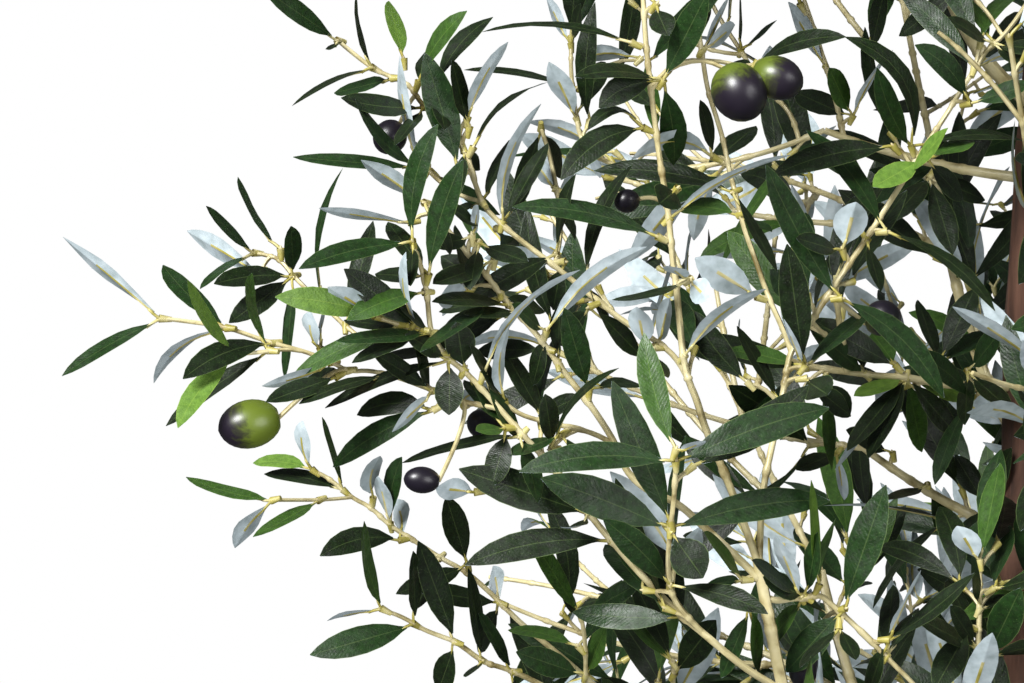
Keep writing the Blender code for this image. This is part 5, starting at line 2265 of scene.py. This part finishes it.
@dataclass
class Pot:
    """The plain pot with its rim, and the crumb cover over its cast weight."""

    height: float = 0.170
    foot_radius: float = 0.084
    mouth_radius: float = 0.104
    wall: float = 0.004
    floor: float = 0.006
    rim_height: float = 0.020
    rim_reach: float = 0.005
    edge: float = 0.002  # of every rounded edge; the small ones have half of it
    hollow: float = 0.0022  # of the underside
    foot_ring: Pair = (0.008, 0.007)  # top and foot of its inner slope, in from the pot's foot
    sides: int = 96
    sharp_deg: float = 50.0
    fill_top: float = 0.150
    fill_gap: float = 0.0006  # between the cover and the wall
    fill_drop: float = 0.006  # of the cover's underside, below its top
    fill_thickness: float = 0.005
    fill_sides: int = 72
    fill_rings: int = 25
    heap_start: float = 0.002  # below the cover's top; what lies higher is heaped
    heap_scale: float = 90.0
    heap: float = 0.0014  # height of the crumbs
    heap_limits: Pair = (-0.0012, 0.0014)

    def radius(self, height: float) -> float:
        """Give the outer radius at a height."""
        return self.foot_radius + (self.mouth_radius - self.foot_radius) * height / self.height

    def build(self) -> None:
        """Turn the pot and lay the cover in it."""
        band = self.height - self.rim_height
        rim, mouth = self.radius(band) + self.rim_reach, self.mouth_radius + self.rim_reach
        outer, inner = (self.foot_radius - slope for slope in self.foot_ring)
        edge, small = self.edge, self.edge / 2
        profile = (
            (0.0, self.hollow),
            (outer, self.hollow),
            (inner, 0.0),
            (self.foot_radius - edge, 0.0),
            (self.foot_radius, edge),
            (self.radius(band), band),
            (rim - small, band + small),
            (rim, band + edge),
            (mouth, self.height - edge),
            (mouth - edge, self.height),
            (self.mouth_radius - self.wall + small, self.height),
            (self.mouth_radius - self.wall, self.height - small),
            (self.radius(self.floor) - self.wall, self.floor),
            (0.0, self.floor),
        )
        mesh = bmesh.new()
        corners = [mesh.verts.new((radius, 0.0, height)) for radius, height in profile]
        edges = [mesh.edges.new(pair) for pair in zip(corners, corners[1:])]
        bmesh.ops.spin(
            mesh,
            geom=corners + edges,
            axis=UP,
            cent=(0.0, 0.0, 0.0),
            angle=math.tau,
            steps=self.sides,
            use_merge=True,
        )
        bmesh.ops.remove_doubles(mesh, verts=mesh.verts, dist=1e-5)
        bmesh.ops.recalc_face_normals(mesh, faces=mesh.faces)
        data = smooth_data("pot_shell", mesh, self.sharp_deg)
        add_piece(data, [POT_PLASTIC], ["pot"])
        self._cover()

    def _cover(self) -> None:
        """Lay the crumbs: a filled body whose top is heaped and rough."""
        reach = self.radius(self.fill_top) - self.wall - self.fill_gap
        mesh = bmesh.new()
        bmesh.ops.create_circle(mesh, cap_ends=True, segments=self.fill_sides, radius=reach)
        bmesh.ops.translate(mesh, verts=mesh.verts, vec=(0.0, 0.0, self.fill_top - self.fill_drop))
        grown = bmesh.ops.extrude_face_region(mesh, geom=mesh.faces[:] + mesh.edges[:])["geom"]
        top = next(item for item in grown if isinstance(item, bmesh.types.BMFace))
        bmesh.ops.translate(mesh, verts=top.verts, vec=(0.0, 0.0, self.fill_thickness))
        width = reach / (self.fill_rings + 2)
        for _ in range(self.fill_rings):
            bmesh.ops.inset_region(mesh, faces=[top], thickness=width)
            top = next(
                face
                for face in mesh.faces
                if len(face.verts) == self.fill_sides and face.normal.z > 0.9
            )
        bmesh.ops.poke(mesh, faces=[top])
        least, most = self.heap_limits
        for vert in mesh.verts:
            if vert.co.z > self.fill_top - self.heap_start:
                heap = noise.fractal(vert.co * self.heap_scale, 1.0, 2.0, 3) * self.heap
                vert.co.z += min(most, max(least, heap))
        bmesh.ops.recalc_face_normals(mesh, faces=mesh.faces)
        add_piece(smooth_data("pot_cover", mesh), [COVER], ["pot_filling"])


@dataclass
class StemMould:
    """Turns lines into moulded stems: tapering tubes with a swelling at every pair of leaves."""

    knot_length: float = 0.0022  # half of a knot's length
    knot_clear: float = 1.6  # of that, on both sides, without other points
    crest: float = 0.4  # of that, where a knot is thickest
    sharp_deg: float = 60.0

    def build(self, name: str, stems: Iterable[Stem]) -> bpy.types.Mesh:
        """Mould stems.

        Args:
            name: the mesh's name.
            stems: the stems.

        Returns:
            One mesh with all of them.
        """
        curve = bpy.data.curves.new(name, "CURVE")
        curve.dimensions = "3D"
        curve.bevel_depth = 1.0
        curve.bevel_resolution = 1
        curve.use_fill_caps = True
        for stem in stems:
            self._spline(curve, stem)
        holder = add_object(name + "_line", curve)
        graph = bpy.context.evaluated_depsgraph_get()
        data = bpy.data.meshes.new_from_object(holder.evaluated_get(graph))
        bpy.data.objects.remove(holder)
        bpy.data.curves.remove(curve)
        data.name = name
        data.shade_smooth()
        data.set_sharp_from_angle(angle=math.radians(self.sharp_deg))
        return data

    def _spline(self, curve: bpy.types.Curve, stem: Stem) -> None:
        """Add one stem's line with its swellings.

        Args:
            curve: the curve that holds all lines.
            stem: the stem.
        """
        shares = {index / (len(stem.path) - 1) for index in range(len(stem.path))}
        half = self.knot_length / length_of(stem.path)
        crest = half * self.crest
        for knot in stem.knots:
            shares = {share for share in shares if abs(share - knot) > self.knot_clear * half}
            shares |= {knot - half, knot - crest, knot + crest, knot + half}
        shares = sorted(share for share in shares if 0.0 <= share <= 1.0)
        spline = curve.splines.new("POLY")
        spline.points.add(len(shares) - 1)
        for point, share in zip(spline.points, shares):
            is_crest = any(abs(share - knot) < 0.5 * half for knot in stem.knots)
            point.co = (*point_on(stem.path, share)[0], 1.0)
            point.radius = stem.radius(share) * (stem.swell if is_crest else 1.0)


@dataclass
class Bough:
    """One bough: its line from the trunk to its fork, and its sprays."""

    name: str
    limb: Stem
    sprays: list[Spray] = field(default_factory=list)


@dataclass
class Crown:
    """The whole crown: boughs, sprays, leaves and olives."""

    trunk: Trunk
    boughs: dict[str, Bough] = field(default_factory=dict)
    leader: Spray | None = None
    room: Room = field(default_factory=Room)
    mould: StemMould = field(default_factory=StemMould)
    leaf_shape: LeafPattern = field(default_factory=LeafPattern)
    cup_shape: CupPattern = field(default_factory=CupPattern)
    olive_shape: OlivePattern = field(default_factory=OlivePattern)
    bough_steps: int = 36
    tier_bow: Pair = (0.012, -0.022)  # outwards and up
    # For the rising and for the hanging spray of a bough: place on it, turn off it, rise of bow
    tier_sprays: tuple[tuple[str, float, float, float], ...] = (
        ("a", 1.0, -9.0, -0.010),
        ("b", 0.76, 13.0, 0.012),
    )
    # What stands for the wood in tests: points and radius of the trunk, share of a main stem
    trunk_points: int = 30
    trunk_core: float = 0.018
    stem_core: float = 0.6

    def sprays(self) -> list[Spray]:
        """List the sprays of every bough and the leader."""
        found = [spray for bough in self.boughs.values() for spray in bough.sprays]
        return found + ([self.leader] if self.leader else [])

    def plan(self) -> None:
        """Lay out the boughs and the main stems by the solid model's rule."""
        plan = dict(PLACED_BOUGHS)
        for tier, rows in TIERS.items():
            for number, (foot, azimuth, reach, height, *_) in enumerate(rows, 1):
                bow = polar(azimuth, *self.tier_bow)
                plan[f"{tier}_{number}"] = (foot, polar(azimuth, reach, height), bow)
        for name, (foot, fork, bow) in plan.items():
            start, _ = self.trunk.axis(foot)
            path = curve_points(start, fork, bow, self.bough_steps)
            radii = HABIT.slim_radii if name.startswith("left_") else HABIT.bough_radii
            self.boughs[name] = Bough(name, Stem(path, *radii, order=0, swell=HABIT.bough_swell))
        self._placed_sprays()
        self._tier_sprays()

    def _placed_sprays(self) -> None:
        """Lay out the sprays that are given stem by stem, the front ones by their lines."""
        sprays = {}
        for name in (*LAID_SPRAYS, *PLACED_SPRAYS):
            bough = self.boughs[name.rsplit("_", 1)[0]]
            sprays[name] = Spray(name, bough.limb, self.room)
            bough.sprays.append(sprays[name])
            for parent, share, tip, bow in PLACED_SPRAYS.get(name, ()):
                limb = bough.limb if parent is None else sprays[name].stems[parent]
                start, _ = point_on(limb.path, share)
                sprays[name].add_main(start, tip, bow)
        for name, stems in FRONT_STEMS.items():
            for depth, line in stems:
                sprays[name].lay_stem(depth, line)

    def _tier_sprays(self) -> None:
        """Lay out a rising and a hanging spray for each bough of the tiers, and the leader."""
        for tier, rows in TIERS.items():
            for number, row in enumerate(rows, 1):
                bough = self.boughs[f"{tier}_{number}"]
                for place, tip in zip(self.tier_sprays, (row[4:6], row[6:8])):
                    letter, share, turn, rise = place
                    azimuth = row[1] + turn
                    spray = Spray(f"{bough.name}_{letter}", bough.limb, self.room)
                    start, _ = point_on(bough.limb.path, share)
                    spray.add_main(start, polar(azimuth, *tip), (0.0, 0.0, rise))
                    spray.fork(azimuth)
                    bough.sprays.append(spray)
        start, _ = self.trunk.axis(self.trunk.ends[1])
        stub = Stem([start, start + UP * 0.001], *HABIT.bough_radii, order=0)
        self.leader = Spray("leader", stub, self.room)
        self.leader.add_main(start, LEADER_TIP, (0.0, 0.0, 0.0))
        self.leader.fork(0.0)

    def grow(self) -> None:
        """Lay the front's tufts and olives, then let every spray grow by rule."""
        heights = np.linspace(*self.trunk.ends, self.trunk_points)
        axis = [self.trunk.axis(float(height))[0] for height in heights]
        self.room.add_line(axis, self.trunk_core)
        for bough in self.boughs.values():
            self.room.add_line(bough.limb.path[::3], HABIT.bough_radii[1])
        sprays = {spray.name: spray for spray in self.sprays()}
        for spray in sprays.values():
            for stem in spray.stems:
                self.room.add_line(stem.path[::2], stem.foot * self.stem_core)
        for name, tufts in FRONT_TUFTS:
            for cup, *leaves in tufts:
                sprays[name].lay_tuft(cup, leaves)
        for name, *olive in FRONT_OLIVES:
            sprays[name].lay_olive(*olive)
        for bough in self.boughs.values():
            bough.sprays[0].clothe()
        for spray in sprays.values():
            spray.grow(spray.name in FRONT_SPRAYS)

    def build(self) -> None:
        """Make the pieces: boughs, and for each of them its stems and its leaves."""
        for bough in self.boughs.values():
            data = self.mould.build(f"bough_{bough.name}_moulded", [bough.limb])
            add_piece(data, [STEM], [f"bough_{bough.name}"])
            self._dress(bough.name, bough.sprays)
        self._dress("leader", [self.leader])

    def _dress(self, name: str, sprays: list[Spray]) -> None:
        """Make one bough's stems, cups, leaves and olives.

        Args:
            name: the bough's name.
            sprays: its sprays.
        """
        nodes = [spray.node for spray in sprays]
        stems = [stem for spray in sprays for stem in spray.stems]
        add_piece(self.mould.build(f"stems_{name}", stems), [STEM], nodes)
        leaves, cups, olives = Joined(), Joined(), Joined()
        for spray in sprays:
            for leaf in spray.leaves:
                self.leaf_shape.add(leaves, leaf)
            for place, way in spray.cups:
                self.cup_shape.add(cups, place, way)
            for olive in spray.olives:
                self.olive_shape.add(olives, olive)
        for kind, joined, finishes, sharp_deg in (
            ("leaves", leaves, LEAF_FINISHES, 100.0),
            ("cups", cups, (LEAF_RIB, STEM), 60.0),
            ("olives", olives, (OLIVE_SKIN,), 60.0),
        ):
            if joined.count:
                add_piece(joined.mesh(f"{kind}_{name}", sharp_deg), finishes, nodes)


@dataclass
class Studio:
    """The pale floor, the white surround, the soft lights and the camera."""

    floor_reach: float = 2.6
    surround: float = 0.10  # its strength as a light; to the camera it is plain white
    surround_colour: tuple[float, ...] = (0.97, 0.985, 1.0, 1.0)
    # Each lamp's name, the way to it, how wide it looks in degrees, its power, whether it glints
    lamps: tuple[tuple, ...] = (
        ("key", (-1.1, -1.6, 1.3), 26.0, 7.0, True),
        ("fill", (1.6, -1.6, 0.3), 40.0, 1.8, True),
        ("back", (0.6, 2.0, 1.3), 40.0, 2.4, False),
        ("bounce", (-0.2, -1.2, -1.0), 60.0, 1.8, False),
    )

    def build(self) -> None:
        """Set up the studio."""
        self._floor()
        self._surround()
        for lamp in self.lamps:
            self._lamp(*lamp)
        SIGHT.set_up()

    def _floor(self) -> None:
        """Lay the floor; what it would throw back at the tree comes from the lamp below it."""
        mesh = bmesh.new()
        bmesh.ops.create_circle(mesh, cap_ends=True, segments=96, radius=self.floor_reach)
        floor = add_object("studio_floor", smooth_data("studio_floor", mesh))
        floor.data.materials.append(FLOOR_PAINT.make())
        floor.visible_diffuse = floor.visible_glossy = floor.visible_shadow = False

    def _surround(self) -> None:
        """Hang a white surround that lights the tree softly from all sides."""
        world = bpy.data.worlds.new("studio_surround")
        bpy.context.scene.world = world
        world.use_nodes = True
        tree = world.node_tree
        seen = tree.nodes["Background"]
        seen.inputs["Color"].default_value = (1.0, 1.0, 1.0, 1.0)
        seen.inputs["Strength"].default_value = 1.0
        settings = {"Color": self.surround_colour, "Strength": self.surround}
        light = add_node(tree, "Background", settings)
        ray = add_node(tree, "LightPath")
        both = add_node(tree, "MixShader", links={0: ray, 1: light, 2: seen})
        tree.links.new(both.outputs[0], tree.nodes["World Output"].inputs["Surface"])
        bpy.context.scene.view_settings.view_transform = "Standard"

    def _lamp(
        self, name: str, towards: Sequence, spread_deg: float, power: float, is_glossy: bool
    ) -> None:
        """Hang a large soft light, too far off to fade across the tree.

        Args:
            name: its name.
            towards: the way to it from the tree.
            spread_deg: how wide it looks from the tree.
            power: its power in watts for each square metre that it lights.
            is_glossy: whether it glints in what it lights.
        """
        lamp = bpy.data.lights.new(name, "SUN")
        lamp.angle, lamp.energy = math.radians(spread_deg), power
        holder = add_object(name, lamp)
        holder.visible_glossy = is_glossy
        holder.location = towards
        holder.rotation_euler = (-Vector(towards)).to_track_quat("-Z", "Y").to_euler()


def main() -> None:
    """Build the pot, the trunk, the crown and the studio."""
    logging.basicConfig(level=logging.INFO, format="%(name)s: %(message)s")
    Studio().build()
    Pot().build()
    trunk = Trunk()
    trunk.build()
    crown = Crown(trunk)
    crown.plan()
    crown.grow()
    crown.build()
    LOG.info("leaves: %d in all", sum(len(spray.leaves) for spray in crown.sprays()))
    LOG.info("stems: %d in all", sum(len(spray.stems) for spray in crown.sprays()))


if __name__ == "__main__":
    main()
